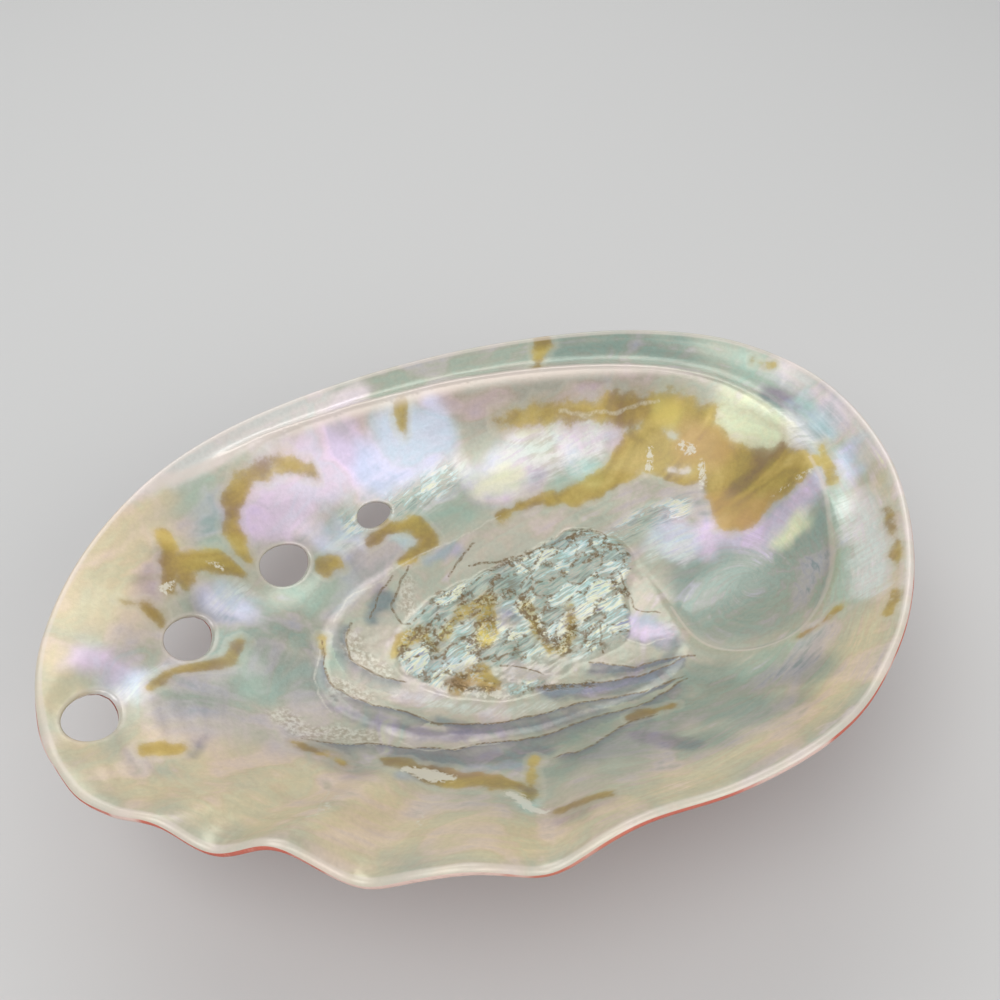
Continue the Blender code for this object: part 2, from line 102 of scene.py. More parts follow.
# The inner edge of the columella shelf, from the head end round the spire's pit
RIDGE = (
    (-0.0560, 0.0546), (-0.0330, 0.0571), (-0.0070, 0.0559), (0.0180, 0.0515), (0.0360, 0.0457),
    (0.0510, 0.0390), (0.0640, 0.0305), (0.0725, 0.0205), (0.0763, 0.0080), (0.0752, -0.0030),
    (0.0715, -0.0140), (0.0650, -0.0235), (0.0576, -0.0313), (0.0490, -0.0366), (0.0409, -0.0385),
    (0.0345, -0.0348), (0.0316, -0.0280), (0.0319, -0.0206), (0.0346, -0.0110),
)
RIDGE_STARTS = 0.07
RIDGE_HOLDS_UNTIL = 0.52
RIDGE_FADES_BY = 0.68
RIDGE_DEPTH = 0.0010
RIDGE_DROP = 0.0300
RIDGE_DROP_POWER = 2.2
SHELF_BEND = 0.8
SHELF_DISH = 0.0012
SHELF_BEAD = 0.0006
SHELF_BEAD_WIDTH = 0.0020
WALL_FOOT = 0.0048
WALL_BEND = 1.3

# The spire: a pit inside and a low coil outside
APEX = (0.0510, -0.0175)
PIT_DEPTH = 0.0044
PIT_RADIUS = 0.0190
PIT_POWER = 3.0
PIT_EDGE = 0.0012
PIT_TIP_SPREAD = 0.8
PIT_TIP_EDGE = 0.0026
SPIRE_DEPTH = 0.0044
SPIRE_RADIUS = 0.0190
SUTURE_START = 0.0011
SUTURE_GROWTH = 0.235
SUTURE_DEPTH = 0.0011
SUTURE_WIDTH = 0.15
SUTURE_REACH = 0.0210

# Breathing holes: (x, y, half length, half width, turn in degrees), the newest first
HOLES = (
    (-0.0815, 0.0084, 0.0061, 0.0045, 58),
    (-0.0609, 0.0233, 0.0061, 0.0042, 43),
    (-0.0362, 0.0362, 0.0064, 0.0043, 22),
    (-0.0122, 0.0413, 0.0047, 0.0026, 2),
)
HOLE_EGG = 0.12
HOLE_ROW = (
    (-0.0960, -0.0060), (-0.0815, 0.0084), (-0.0609, 0.0233), (-0.0362, 0.0362), (-0.0122, 0.0413),
    (0.0100, 0.0412), (0.0300, 0.0360), (0.0480, 0.0250), (0.0600, 0.0090), (0.0640, -0.0070),
    (0.0600, -0.0180),
)
ROW_GROOVE = 0.0008
ROW_GROOVE_WIDTH = 0.0048
ROW_KEEL = 0.0019
ROW_KEEL_WIDTH = 0.0058
HOLE_WALL = 0.0022
HOLE_FUNNEL = 0.0009
HOLE_COLLAR = 0.0012
HOLE_COLLAR_WIDTH = 0.0030
HOLE_FLARE = 1.12
EDGE_BULGE = 0.0007
CLOSED_HOLES = 7
CLOSED_HOLES_FROM = 0.49
CLOSED_HOLES_SPAN = 0.49
CLOSED_HOLE_SHRINK = 0.86
CLOSED_HOLE_HEIGHT = 0.0015
CLOSED_HOLE_WIDTH = 0.0042
CLOSED_HOLE_DIMPLE = 0.45

# The muscle scar in the floor of the bowl: a low plateau with a rough patch on it
SCAR = (
    (-0.0415, 0.0040), (-0.0350, 0.0190), (-0.0200, 0.0280), (0.0010, 0.0300), (0.0210, 0.0295),
    (0.0340, 0.0215), (0.0370, 0.0080), (0.0345, -0.0080), (0.0300, -0.0200), (0.0200, -0.0265),
    (0.0020, -0.0245), (-0.0170, -0.0200), (-0.0330, -0.0120),
)
SCAR_RISE = 0.0006
ROUGH_PATCH = (
    (-0.0250, 0.0070), (-0.0170, 0.0165), (-0.0030, 0.0200), (0.0150, 0.0195), (0.0290, 0.0190),
    (0.0365, 0.0080), (0.0285, -0.0020), (0.0220, -0.0110), (0.0080, -0.0105), (-0.0060, -0.0120),
    (-0.0190, -0.0045),
)
ROUGH_RISE = 0.0009
ROUGH_LUMP = 0.0007
ROUGH_LUMP_SIZE = 0.0085
SCAR_EDGE = 0.0014

# Ornament of the outside
GROWTH_TWIST = 0.45
GROWTH_RINGS = ((0.86, 0.0009), (0.73, 0.0012), (0.59, 0.0010), (0.45, 0.0009), (0.33, 0.0007))
RING_WIDTH = 0.026
CORDS = 26
CORD_HEIGHT = 0.0004
CORD_EXPANSION = 0.72
LUMP_HEIGHT = 0.0005
LUMP_SIZE = 0.022
RELIEF_FADE = (0.97, 0.80)

# Edges of the pearl layers round the scar, which step down away from it, in millimetres of the plan
LAYER_EDGES = (
    ((-29.5, 19.5), (-32.5, 15), (-33.5, 11), (-32, 8), (-29, 4.5), (-25.5, 2)),
    ((-37, 17), (-38.5, 12.5), (-40, 6.5), (-38.5, 3), (-35, -1), (-31, -4), (-28, -8.5), (-25.5, -12.5)),
    ((-27, -11), (-19, -15.5), (-12.5, -17.5), (-5, -19.5), (2, -21.5), (8.5, -24.5), (14.5, -27),
     (23, -29.5)),
    ((-51, -5.5), (-44.5, -10.5), (-38.5, -12.5), (-34, -16), (-29, -19), (-21.5, -20.5), (-14, -23.5),
     (-7, -25.5), (-0.5, -26.5), (6, -28), (12, -30), (18.5, -30), (22.5, -30.5)),
    ((-12, -32.5), (-7, -34.5), (0, -33.5), (6.5, -33), (10.5, -34.5)),
    ((-3.5, -12), (2.5, -14), (8, -17.5), (14, -21), (20, -24), (25.5, -25), (28, -26.5)),
    ((11.5, -12), (14.5, -15.5), (18.5, -20.5), (23.5, -22.5), (27, -26)),
)
LAYER_STEP = 0.05
LAYER_STEP_REACH = 3.5
LAYER_STEP_SOFTNESS = 0.4
# How far the painted shade and painted light beside each layer step reach, in millimetres
STEP_SHADE_FADE = 2.1

# Other thin brown lines, and pale ones
BROWN_LINES = (
    ((-5.5, -3), (-1, -6), (1, -9.5)),
    ((-25, 19), (-21, 23.5), (-15, 27)),
    ((-10.5, 28), (-16.5, 23), (-19, 19.5), (-19, 16), (-17.5, 15)),
    ((6.5, 27), (2, 25.5), (-3, 23)),
    ((32, 4), (30.5, -0.5), (29, -5), (29, -7.5), (31.5, -11.5)),
    ((2.5, 23), (10, 21), (17, 19.5), (25, 18), (32.5, 16.5), (35, 14), (33.5, 12), (36, 9)),
    ((19.5, -5.5), (17, -9), (15.5, -12)),
)
PALE_LINES = (
    ((15.5, 30), (1.5, 29.5), (-11, 29), (-19, 26.5), (-27, 25), (-32.5, 20.5)),
    ((-38.5, 15), (-42.5, 8), (-43.5, 3), (-43, -0.5)),
    ((-34.5, -13), (-32, -18.5), (-25, -19.5), (-18, -22.5)),
    ((38.5, 39.5), (50, 33.5), (56.5, 30.5), (61, 28)),
    ((-52, -22), (-56, -29.5), (-58.5, -31)),
    ((21, -11), (23, -15.5), (27.5, -18)),
)
LINE_WANDER = 0.5
LINE_WANDER_SIZE = 3.5
LINE_SAMPLES = 120

# Fine relief of the inside, in millimetres
LIP_RIPPLE_COUNT = 42
LIP_RIPPLE = 0.06
LIP_RIPPLE_WARP = 2.5
LIP_RIPPLE_WARP_SIZE = 12.0
LIP_RIPPLE_PATCH_SIZE = 16.0
RIM_BEAD = 0.08
RIM_BEAD_WIDTH = 0.38
COMB_SLOPE = (0.165, -0.0043)
BLADE_LENGTH = 7.0
BLADE_WIDTH = 3.0
BLADE_TILT = 0.24
COMB_WIDTH = 0.85
COMB_HEIGHT = 0.16
SCAR_GRAIN = 0.04
SCAR_GRAIN_SIZE = 1.6
SCAR_REACH = 18.0
PEARL_WAVE = 0.12
PEARL_WAVE_SIZE = 11.0
PEARL_WAVE_STARTS = 2.5
PEARL_RIPPLE = 0.03
PEARL_RIPPLE_SIZE = 3.2

# Fine relief of the outside, in millimetres
GROWTH_LINE_COUNT = 70
GROWTH_LINE_HEIGHT = 0.09
GROWTH_LINE_WARP = 2.0
GROWTH_LINE_WARP_SIZE = 9.0
CRUST_GRAIN = 0.10
CRUST_GRAIN_SIZE = 1.4

# Mesh spacing, and how many points are compared with a curve at once
BATCH = 4000
SLOPE_STEP = 0.0004
LIP_POINTS = 720
HOLE_POINTS = 72
EDGE_STEPS = 6
INSIDE_SPACING = 0.00074
SCAR_SPACING = 0.00042
OUTSIDE_SPACING = 0.00105
ROW_SPACING = 0.00050
CLEARANCE = 0.55
SCAR_MARGIN = 1.06
LINE_MARGIN = 1.0
# Keeps the fine folds inside the part's height
HEIGHT_FIT = 0.999

# Finish of the pearl, with what dull spots add to it, and of the outside; bumps in millimetres
PEARL_CONTRAST = 0.18
PEARL_ROUGHNESS = 0.32
DULL_ROUGHNESS = 0.20
PEARL_METALLIC = 0.20
DULL_METALLIC = -0.15
COAT_WEIGHT = 0.3
COAT_ROUGHNESS = 0.18
PEARL_BUMP = 0.30
CRUST_ROUGHNESS = 0.45
CRUST_ROUGHNESS_GRAIN = 0.35
CRUST_BUMP = 0.35

# Studio
FLOOR_REACH = 3.0
FLOOR_GREY = (0.62, 0.61, 0.59, 1)
FLOOR_ROUGHNESS = 0.8
WORLD_BLUE = (0.86, 0.90, 0.95, 1)
WORLD_STRENGTH = 0.42
LIGHT_AIM = (0, 0, 0.02)
# Name, place, size, watts and colour
LIGHTS = (
    ("window", (0.25, 0.62, 0.68), (1.1, 0.45), 3.1, (1.0, 1.0, 1.0)),
    ("sky", (-0.45, -0.20, 0.80), (0.8, 0.8), 4.3, (0.97, 0.98, 1.0)),
    ("fill", (0.15, -0.75, 0.50), (0.7, 0.5), 2.5, (1.0, 0.99, 0.98)),
)

# Strokes of colour on the inside, in millimetres: each point is (x, y, radius)
STAIN = (
    ((22.5, 45, 0.5), (31.5, 42, 1.1), (41, 38.5, 1.4), (50, 34, 1.5), (58.5, 28.5, 2.1), (63.5, 23.5, 2.4)),
    ((63.5, 23, 2.8), (66, 18.5, 4.0), (68.5, 10, 5), (70, 0.5, 4.4), (72.5, -7, 2.6), (75, -10, 1.4)),
    ((66, 10.5, 5), (65, 3.5, 6.5), (63, -1, 6.7)),
    ((68, -4, 4.3), (71.5, -8, 2)),
    ((58, 27, 2.7), (54.5, 24.5, 3.9), (56.5, 20, 3.6), (62.5, 14, 5.1)),
    ((53, 25, 3.9), (47, 24.5, 3.4), (41, 24.5, 2.9), (34.5, 26, 2.2), (28, 28, 1.2)),
    ((-22, 50.5, 1.1), (-29.5, 53, 1.1), (-35.5, 52, 1.6), (-40.5, 49, 1.9), (-43, 45, 1.6),
     (-43.5, 38.5, 1.6)),
    ((-56.5, 44, 1.3), (-58, 39, 1.5), (-60.5, 33, 1.3)),
    ((-57.5, 33.5, 1.2), (-55, 38, 2.2), (-49, 38, 2.6), (-46, 35.5, 1.5)),
    ((-69, 30.5, 0.6), (-66.5, 30.5, 1.0), (-65, 28, 1.0), (-64.5, 26, 0.5)),
    ((-28.5, 33.5, 2.4), (-25.5, 33.5, 1.9)),
    ((-16.5, 36, 0.8), (-10.5, 37.5, 1.4), (-5, 36, 2), (-2.5, 32, 1.7), (-7, 30.5, 1.4),
     (-11.5, 29.5, 0.8)),
    ((3, 53, 1.7), (2, 51, 1.1)),
    ((-52.5, 20, 0.7), (-56, 16, 1.5), (-59, 16, 1.0), (-66.5, 15.5, 0.7), (-71.5, 12, 0.5)),
    ((-75.5, -2, 1.1), (-73, -2.5, 1.8), (-71, -3, 1.1)),
    ((-40, -16.5, 0.7), (-36.5, -23, 2.0), (-31, -27.5, 2.7), (-26, -33, 2.4), (-22.5, -36.5, 1.2)),
    ((-15, -30, 0.6), (-20, -35.5, 0.9), (-23.5, -40.5, 0.6)),
    ((-23.5, -46, 0.6), (-19.5, -48, 1), (-15, -50.5, 0.6)),
    ((6.5, -31.5, 0.7), (10, -33, 1), (14.5, -34.5, 0.5)),
    ((-24.5, 9, 0.8), (-21, 12, 1.6), (-16.5, 11.5, 1.9), (-15.5, 7.5, 1.1)),
    ((-12, 9.5, 1.3), (-6, 13, 1.1), (1.5, 13.5, 2.2), (-2, 8, 2.2), (-5.5, 4, 1.6)),
    ((9, 9, 0.8), (7, 1, 1.1), (6, -5, 1.1)),
    ((-16.5, -4, 2.1), (-10.5, -2, 2.6), (-11, -8.5, 2.3)),
    ((17.5, 3, 0.8), (12.5, -4, 1.1), (7.5, -6, 0.8)),
    ((78.5, -7, 0.9), (75.5, -12, 1.1), (72.5, -16, 0.8)),
    ((44, 53.5, 1.8), (40, 51, 1.5), (36.5, 46.5, 0.9)),
    ((83, 21, 0.3), (85, 16.5, 0.1)),
    ((71, -31.5, 0.5), (64, -39.5, 0.5), (57, -45.5, 0.5), (49, -51, 0.5)),
    ((15, 30, 0.6), (20.5, 30, 0.7), (27, 29, 0.7)),
    ((-36.5, 17.5, 0.6), (-38, 13.5, 0.6)),
    ((-52.5, -6, 0.7), (-50, -11, 0.9), (-47, -15, 0.7)),
    ((41, -40.5, 0.5), (44.5, -41.5, 0.7), (48, -41.5, 0.8)),
)
FLAKE = (
    ((-38, -22.5, 1.0), (-34.5, -25, 1.9), (-31.5, -27, 1.2)),
    ((-26, -37.5, 0.9), (-25, -40.5, 1.5), (-25, -43, 1.3), (-23.5, -45.5, 0.8)),
    ((-56, -30.5, 0.3), (-52, -26, 0.4)),
    ((-42.5, -36.5, 0.3), (-40.5, -34, 0.3)),
    ((53.5, 21, 0.8), (55, 23.5, 0.7)),
    ((61, 19.5, 0.8), (62.5, 16.5, 0.9)),
    ((62.5, 13, 0.7), (60, 9, 0.8)),
    ((66.5, -6.5, 0.1), (69.5, -8, 0.2), (72.5, -10.5, 0.3)),
    ((-59.5, 34.5, 0.5), (-61.5, 32.5, 1.0)),
    ((-51.5, 38, 0.3), (-49, 36.5, 0.3)),
    ((-14, -8, 0.7), (-9, -11, 0.8)),
)
GOLD = (
    ((60, 27.5, 1.2), (62.5, 25, 1.5)),
    ((-11.5, 12, 1.3), (-10, 8.5, 1.6)),
    ((-5, 6.5, 1.4), (-1.5, 3, 1.3)),
)
AMBER = (
    ((56.5, 5.5, 2.9), (61, -3.5, 3.5), (64.5, -6.5, 2.3)),
    ((63, 18.5, 3), (66.5, 11.5, 2.4)),
    ((-14.5, -5, 2.1), (-10, -10, 1.5)),
    ((15.5, -12.5, 1.1), (21, -17.5, 1.1)),
    ((29.5, 17, 1.7), (34, 15, 1.7)),
    ((-30, -25, 1), (-24, -31, 1)),
    ((42.5, -40.5, 0.7), (46, -42.5, 1)),
)
LIME = (
    ((70.5, 16.5, 2.7), (72, 10.5, 3.8), (74, 2.5, 3.2)),
    ((62, -16, 1.7), (64.5, -16, 2)),
    ((14.5, 37, 1.7), (23, 35.5, 2.3)),
)
BARE = (
    ((56.5, 17.5, 1.5), (59.5, 14, 1.7)),
    ((53, 30, 0.6), (47, 31.5, 0.8)),
)
# Painted highlights: white patches where the pearl shines
PAINTED_HIGHLIGHT = (
    ((21.5, 37.5, 3.5), (31, 36.5, 4.1), (39.5, 33.5, 3.6), (46.5, 33, 2.4)),
    ((43, 5, 3.0), (48, 0, 3.2)),
    ((69.5, 18, 1.8), (75.5, 6, 2.9), (77, -2, 2.4)),
    ((-15, 15.5, 1.6), (-9.5, 16.5, 1.4)),
    ((-9.5, 12, 1.6), (-4, 8.5, 1.6)),
    ((12.5, 14.5, 1.7), (17, 9, 1.7)),
    ((-28.5, -1, 1), (-20.5, -7.5, 1.3), (-12.5, -14, 1.3), (-3, -18.5, 1)),
    ((-75, 12, 1.2), (-68, 16, 1.2)),
    ((-53, 29.5, 1.5), (-47.5, 31.5, 1.6)),
    ((-23, 37, 1.6), (-16.5, 37.5, 1.4)),
    ((-9.5, 38.5, 1.7), (2, 40, 2), (11.5, 41.5, 2)),
    ((71, -21.5, 1.9), (64, -34, 2.6), (53, -43.5, 2)),
    ((9, -8.5, 1.3), (17.5, -8, 1.4)),
)
CYAN = (
    ((38, 31.5, 2.4), (40.5, 27, 2.4)),
    ((23, 15, 2.3), (32.5, 12, 2.3), (34.5, 7, 1.4)),
    ((19, 5.5, 1.4), (26, 3.5, 1.4)),
    ((-9, 35, 1.4), (-7.5, 32, 1.4)),
    ((83.5, 5.5, 1.8), (82, -5.5, 1.5)),
    ((-25, -42, 2), (-22, -39, 1)),
)
VIOLET = (
    ((23.5, 18, 1.2), (30, 15, 1.4)),
    ((-20.5, 3.5, 1.8), (-14, 3, 1.6)),
    ((2, 9, 1.9), (5.5, 9.5, 1.7)),
    ((-1.5, -14, 1), (6.5, -19, 1.3), (18, -24.5, 1)),
    ((-5, 28, 1.4), (1.5, 27.5, 1.4)),
    ((25, -6, 1.4), (28.5, -11.5, 1.4)),
    ((-39.5, -24, 1.1), (-27.5, -27, 1.1), (-19, -30.5, 0.9)),
)
LILAC = (
    ((-38.5, 45, 4.3), (-33, 47.5, 6), (-25.5, 49.5, 5.5), (-18, 49.5, 4.4), (-12.5, 50.5, 3.1)),
    ((-77, 19, 3.3), (-74.5, 17, 3.3)),
    ((39.5, 36, 3.3), (48, 33, 3)),
    ((52, -0.5, 3.2), (58.5, -5.5, 4.3), (61, -12.5, 3.4), (66, -13, 3.4), (70, -12, 2.5)),
    ((48.5, 7.5, 2.6), (48.5, 2, 3.5)),
    ((15, 36, 2.3), (25, 36, 3.5)),
    ((26, -11, 1.9), (28, -17.5, 1.9)),
)
BLUE_WHITE = (
    ((-8, 47.5, 3.7), (1, 47.5, 5.1), (9.5, 47.5, 3.4)),
    ((-52, 30, 2.6), (-48, 27.5, 1.5)),
    ((-26, 37.5, 1.9), (-19, 38.5, 2.2)),
    ((-75.5, 13, 1.4), (-72.5, 14.5, 1.4)),
    ((76.5, -15, 2.3), (80.5, -13, 1.7)),
    ((20.5, 38, 2.3), (12.5, 39, 2.3)),
    ((44, 6, 2), (48, 1, 2.5)),
)
TEAL = (
    ((-46.5, 53.5, 2.7), (-46, 46, 3.2), (-49, 41, 2.1)),
    ((-37.5, 30, 2.6), (-32.5, 26, 3.7), (-26, 28.5, 2.7)),
    ((-3.5, 37.5, 2.3), (8, 35, 2.6)),
    ((-35, 17, 1.6), (-38, 10.5, 1.5)),
    ((33, 30, 2.4), (41, 28, 2.7)),
    ((79, 7, 2.4), (79, -5.5, 2.3), (58.5, -33, 2.4), (50.5, -41.5, 2)),
    ((80, 20.5, 2.7), (84, 9.5, 3)),
    ((-54, 8.5, 1.9), (-54, 15.5, 2)),
    ((39.5, -41, 2.2), (29.5, -39.5, 2.2)),
)
MIST = (
    ((23, -30.5, 3.1), (25, -41, 4.9), (32.5, -47.5, 3.3)),
    ((-13.5, -36, 2.7), (-2.5, -39, 3.7), (13, -38.5, 4.3), (21.5, -47, 4.2)),
    ((-48.5, 19.5, 4.5), (-46, 9, 4), (-59.5, 9, 4.8), (-66.5, 8, 3.3)),
    ((25, -52, 2.8), (7, -49, 2.7)),
    # This stroke darkens the terraces below the scar as painted shade
    ((-22, -26, 2), (0, -30, 3), (15, -31.5, 3)),
    ((45.5, 49.5, 3), (59.5, 43.5, 2.4), (71, 34.5, 2.8)),
    ((-33, 35.5, 2.1), (-24.5, 34, 2.2)),
    ((-55, 27.5, 3), (-48.5, 24.5, 4), (-42, 20, 4)),
    ((-54, 22, 3.5), (-58, 14, 4)),
)
# Mostly painted shade just below the terrace steps round the scar; a few strokes elsewhere are grey-lilac
# patches of the pearl
DUSK_AND_STEP_SHADE = (
    ((-25, -11, 1.2), (-20, -18, 1.5), (-8.5, -22, 1.5), (4, -26, 1.2)),
    ((-37.5, -17, 1.6), (-30.5, -21.5, 1.8), (-20.5, -26.5, 1.9), (-12.5, -28.5, 1.7)),
    ((-41.5, 1, 0.8), (-36, -7, 1.2), (-28, -14.5, 1.3), (-16, -20, 1.2), (-5, -23, 1.0)),
    ((0, -16, 1.6), (9.5, -22, 2), (18.5, -25.5, 2)),
    ((10, -15, 1), (17, -21, 1.6), (24, -24, 1.6)),
    ((23, -6.5, 1.4), (26, -15, 2.4), (27.5, -20.5, 1.9)),
    ((-20.5, 3.5, 2.1), (-14, 3, 1.6)),
    ((-19.5, 23, 2.2), (-24, 18.5, 1.6)),
    ((3.5, -38, 2.1), (6, -47.5, 1.8)),
    ((-67, -2, 0.6), (-69.5, -5, 0.3)),
    ((6, 7, 2.2), (5, 9.5, 2.2)),
    ((80, 11.5, 2.4), (84.5, 2, 2.4)),
)
BEIGE = (
    ((-83, 24.5, 2.8), (-85.5, 11.5, 2), (-84, -0.5, 3.1), (-79.5, -10, 3.8), (-72, -16.5, 5.4),
     (-65, -21.5, 6.2), (-56, -33.5, 5.9), (-43.5, -39, 6.5), (-34.5, -48, 5.9), (-25, -51, 4.4),
     (-13, -55.5, 3.2), (4, -56, 2.8), (21.5, -56.5, 2.7), (38.5, -53.5, 3), (51.5, -48, 2.7),
     (63.5, -39, 2.1), (76, -30, 1.8), (85, -12, 1.2)),
    ((-79.5, 29, 4), (-73, 38.5, 4.5), (-64, 47.5, 4.5), (-53.5, 54, 2.1)),
    ((-74, 30, 5), (-66, 38, 5), (-60, 44, 5)),
    ((-74.5, 0, 3.1), (-65, -11, 5.3), (-53.5, -21, 6.1), (-44.5, -29.5, 5.5)),
)
WARM = (
    ((9.5, 51, 3.4), (31, 45.5, 4.4), (49, 37.5, 4.2), (57.5, 32, 3.2)),
    ((-24, 56, 3.0), (-14.5, 55, 3.8), (-5, 53, 3.8)),
    ((-50, -8, 2.3), (-46.5, -17.5, 2.2)),
    ((-17, -51, 2), (-22.5, -48, 2.1)),
    ((-59.5, 39, 2), (-64, 33, 2)),
)
# Whitish pearl of the shelf and the right lip, partly a painted highlight
SHELF_WHITE_AND_HIGHLIGHT = (
    ((-60, 54, 2), (-52, 57, 3), (-38, 60.5, 3.6), (-18.5, 61.5, 3.6), (-4, 61, 2.0)),
    ((72, -24.5, 2.2), (63, -36.5, 2.9), (54.5, -42.5, 2.3)),
    ((87, 13.5, 1.8), (85.5, -7, 1.7), (80.5, -25, 1.6), (71.5, -36, 1.6), (61, -46, 1.6), (50, -55, 1.3)),
)
SCAR_CREAM = (
    ((-1, 24, 2.2), (7, 25.5, 2.8), (17.5, 24, 3.7), (27.5, 22, 2.9)),
    ((32, 2, 2.8), (31, -5, 2.8)),
    ((-31.5, 2, 1.3), (-23.5, -8, 1.5), (-10.5, -18, 1.2)),
    ((-13, 22, 2.2), (-17, 19, 1.6)),
    ((-22, 17, 2.1), (-28, 11, 2.6), (-36, 4, 2), (-33, 0, 1.5)),
)
SAND = (
    ((-30.5, 15.5, 1.6), (-32, 11.5, 1.8), (-28.5, 6, 1.8)),
    ((-39, 5.5, 1.7), (-35, 1, 1.2)),
    ((-13, 24.5, 1.4), (-16, 19, 1.4)),
    ((-52, 1, 1.9), (-50, -4.5, 1.9), (-44, -6.5, 2.1), (-39, -10.5, 1.7)),
)
# Outside the scar: the scar's combed colour, with its painted shade and painted highlights
COMB = (
    ((34, 12, 1.7), (44, 12, 2.3), (53, 8.5, 2.4)),
    ((-18, 41, 1.7), (-5, 41, 2), (8.5, 41.5, 2)),
)
SMOOTH = (
    ((-8, -5, 3), (1, -8, 3.5), (10, -12, 3)),
    ((3, 9, 2), (4, 6, 2)),
    ((-17, -3, 2), (-11, -8, 2)),
)
GRANULES = (
    ((-17, 11.5, 1.1), (-16.5, 7, 1.1)),
    ((9.5, 10, 1.1), (8.5, 5.5, 1.1), (8, -1, 1.1)),
    ((8, -6, 0.8), (15, -2, 1.1)),
    ((0, 14, 1.1), (6, 13, 1.1)),
    ((-7.5, 19.5, 0.8), (-1, 16.5, 0.8)),
    ((-17, -3.5, 1), (-11.5, -8.5, 1)),
    ((-0.5, -13, 0.8), (7.5, -18, 0.8)),
    ((29.5, 4, 0.9), (29, -2.5, 0.8)),
    ((32.5, 16.5, 0.9), (27, 17, 0.9)),
    ((6.5, 20, 0.8), (17, 19, 0.9)),
    ((8, -1, 0.8), (10.5, -6.5, 0.8)),
)

# Colours as they are seen, 0 to 255
BASE_PEARL = (188, 184, 168)
LILAC_PEARL = (222, 202, 228)
CREAM_PEARL = (226, 207, 170)
WARM_PEARL = (168, 153, 144)
# Whitish shelf pearl, partly a painted highlight
SHELF_PEARL_AND_HIGHLIGHT = (228, 220, 216)
# White of the painted highlights and of the scar's painted sparkles
PAINTED_HIGHLIGHT_WHITE = (228, 232, 226)
PINK_PEARL = (226, 204, 210)
LIME_PEARL = (244, 246, 204)
CYAN_PEARL = (178, 216, 212)
BLUE_PEARL = (158, 166, 190)
PALE_BLUE = (206, 214, 238)
TEAL_PEARL = (166, 192, 178)
# Grey-lilac pearl, used too as painted shade below the layer steps
DUSK_PEARL_AND_SHADE = (124, 126, 134)
MIST_PEARL = (132, 146, 139)
PIT_GREEN = (150, 162, 156)
SHELF_GREEN = (164, 174, 160)
STAIN_PALE = (222, 198, 120)
STAIN_BRIGHT = (240, 220, 118)
STAIN_GOLD = (196, 169, 86)
STAIN_OLIVE = (168, 140, 68)
STAIN_BROWN = (146, 112, 58)
STAIN_AMBER = (206, 162, 104)
LINE_BROWN = (116, 94, 58)
FLAKE_WHITE = (226, 222, 206)
# Sandy cream, used too as painted light on the inner side of the layer steps
SAND_CREAM_AND_PAINTED_LIGHT = (188, 177, 156)
SAND_SHADE = (166, 152, 128)
SCAR_SHADE = (120, 119, 100)
SCAR_TEAL = (152, 180, 168)
SCAR_CREAM_TONE = (201, 190, 175)
# White of the lip and hole edges, used too as a painted highlight along the shelf's bead
LIP_WHITE_AND_RIDGE_HIGHLIGHT = (232, 218, 206)
CORAL = (214, 112, 92)
BRICK = (142, 66, 52)
ROSE = (168, 98, 80)
PLUM = (106, 52, 50)
BUFF = (192, 164, 134)
MOSS = (132, 128, 100)
CRUST_WHITE = (206, 196, 180)

# How the tones follow each other as a noise rises, at the shares given
PEARL_TONES = (
    (0.33, BLUE_PEARL), (0.39, LILAC_PEARL), (0.44, PINK_PEARL), (0.49, BASE_PEARL), (0.54, TEAL_PEARL),
    (0.60, BASE_PEARL), (0.66, LILAC_PEARL), (0.70, LIME_PEARL),
)
# Tones of the scar's blades: the low end is painted shade in the comb's grooves, and the white, cyan and
# lime stops are painted sparkle highlights on its ridges
SCAR_TONES = (
    (0.37, SCAR_SHADE), (0.46, MIST_PEARL), (0.53, SCAR_TEAL), (0.58, BASE_PEARL), (0.64, SHELF_GREEN),
    (0.69, CYAN_PEARL), (0.75, PAINTED_HIGHLIGHT_WHITE), (0.82, LIME_PEARL), (0.89, BLUE_PEARL),
)
STAIN_TONES = ((0.34, STAIN_BROWN), (0.44, STAIN_OLIVE), (0.54, STAIN_GOLD), (0.68, STAIN_PALE))
SAND_TONES = ((0.34, SAND_SHADE), (0.46, SAND_CREAM_AND_PAINTED_LIGHT), (0.60, FLAKE_WHITE))
CRUST_TONES = (
    (0.34, MOSS), (0.40, BUFF), (0.44, ROSE), (0.49, BRICK), (0.53, ROSE), (0.58, BRICK), (0.66, PLUM),
)

# Marks with a ragged edge: (name, strokes, raggedness and size of its lumps in millimetres, seed, octaves)
RAGGED_MARKS = (
    ("stain", STAIN, 1.3, 6.0, 21.0, 2),
    ("amber", AMBER, 1.2, 5.0, 22.0, 1),
    ("sand", SAND, 1.0, 3.0, 23.0, 3),
    ("granules", GRANULES, 0.8, 3.0, 24.0, 3),
    ("smooth", SMOOTH, 1.5, 3.0, 25.0, 3),
)
PLAIN_MARKS = (("comb", COMB), ("gold", GOLD), ("flake", FLAKE))

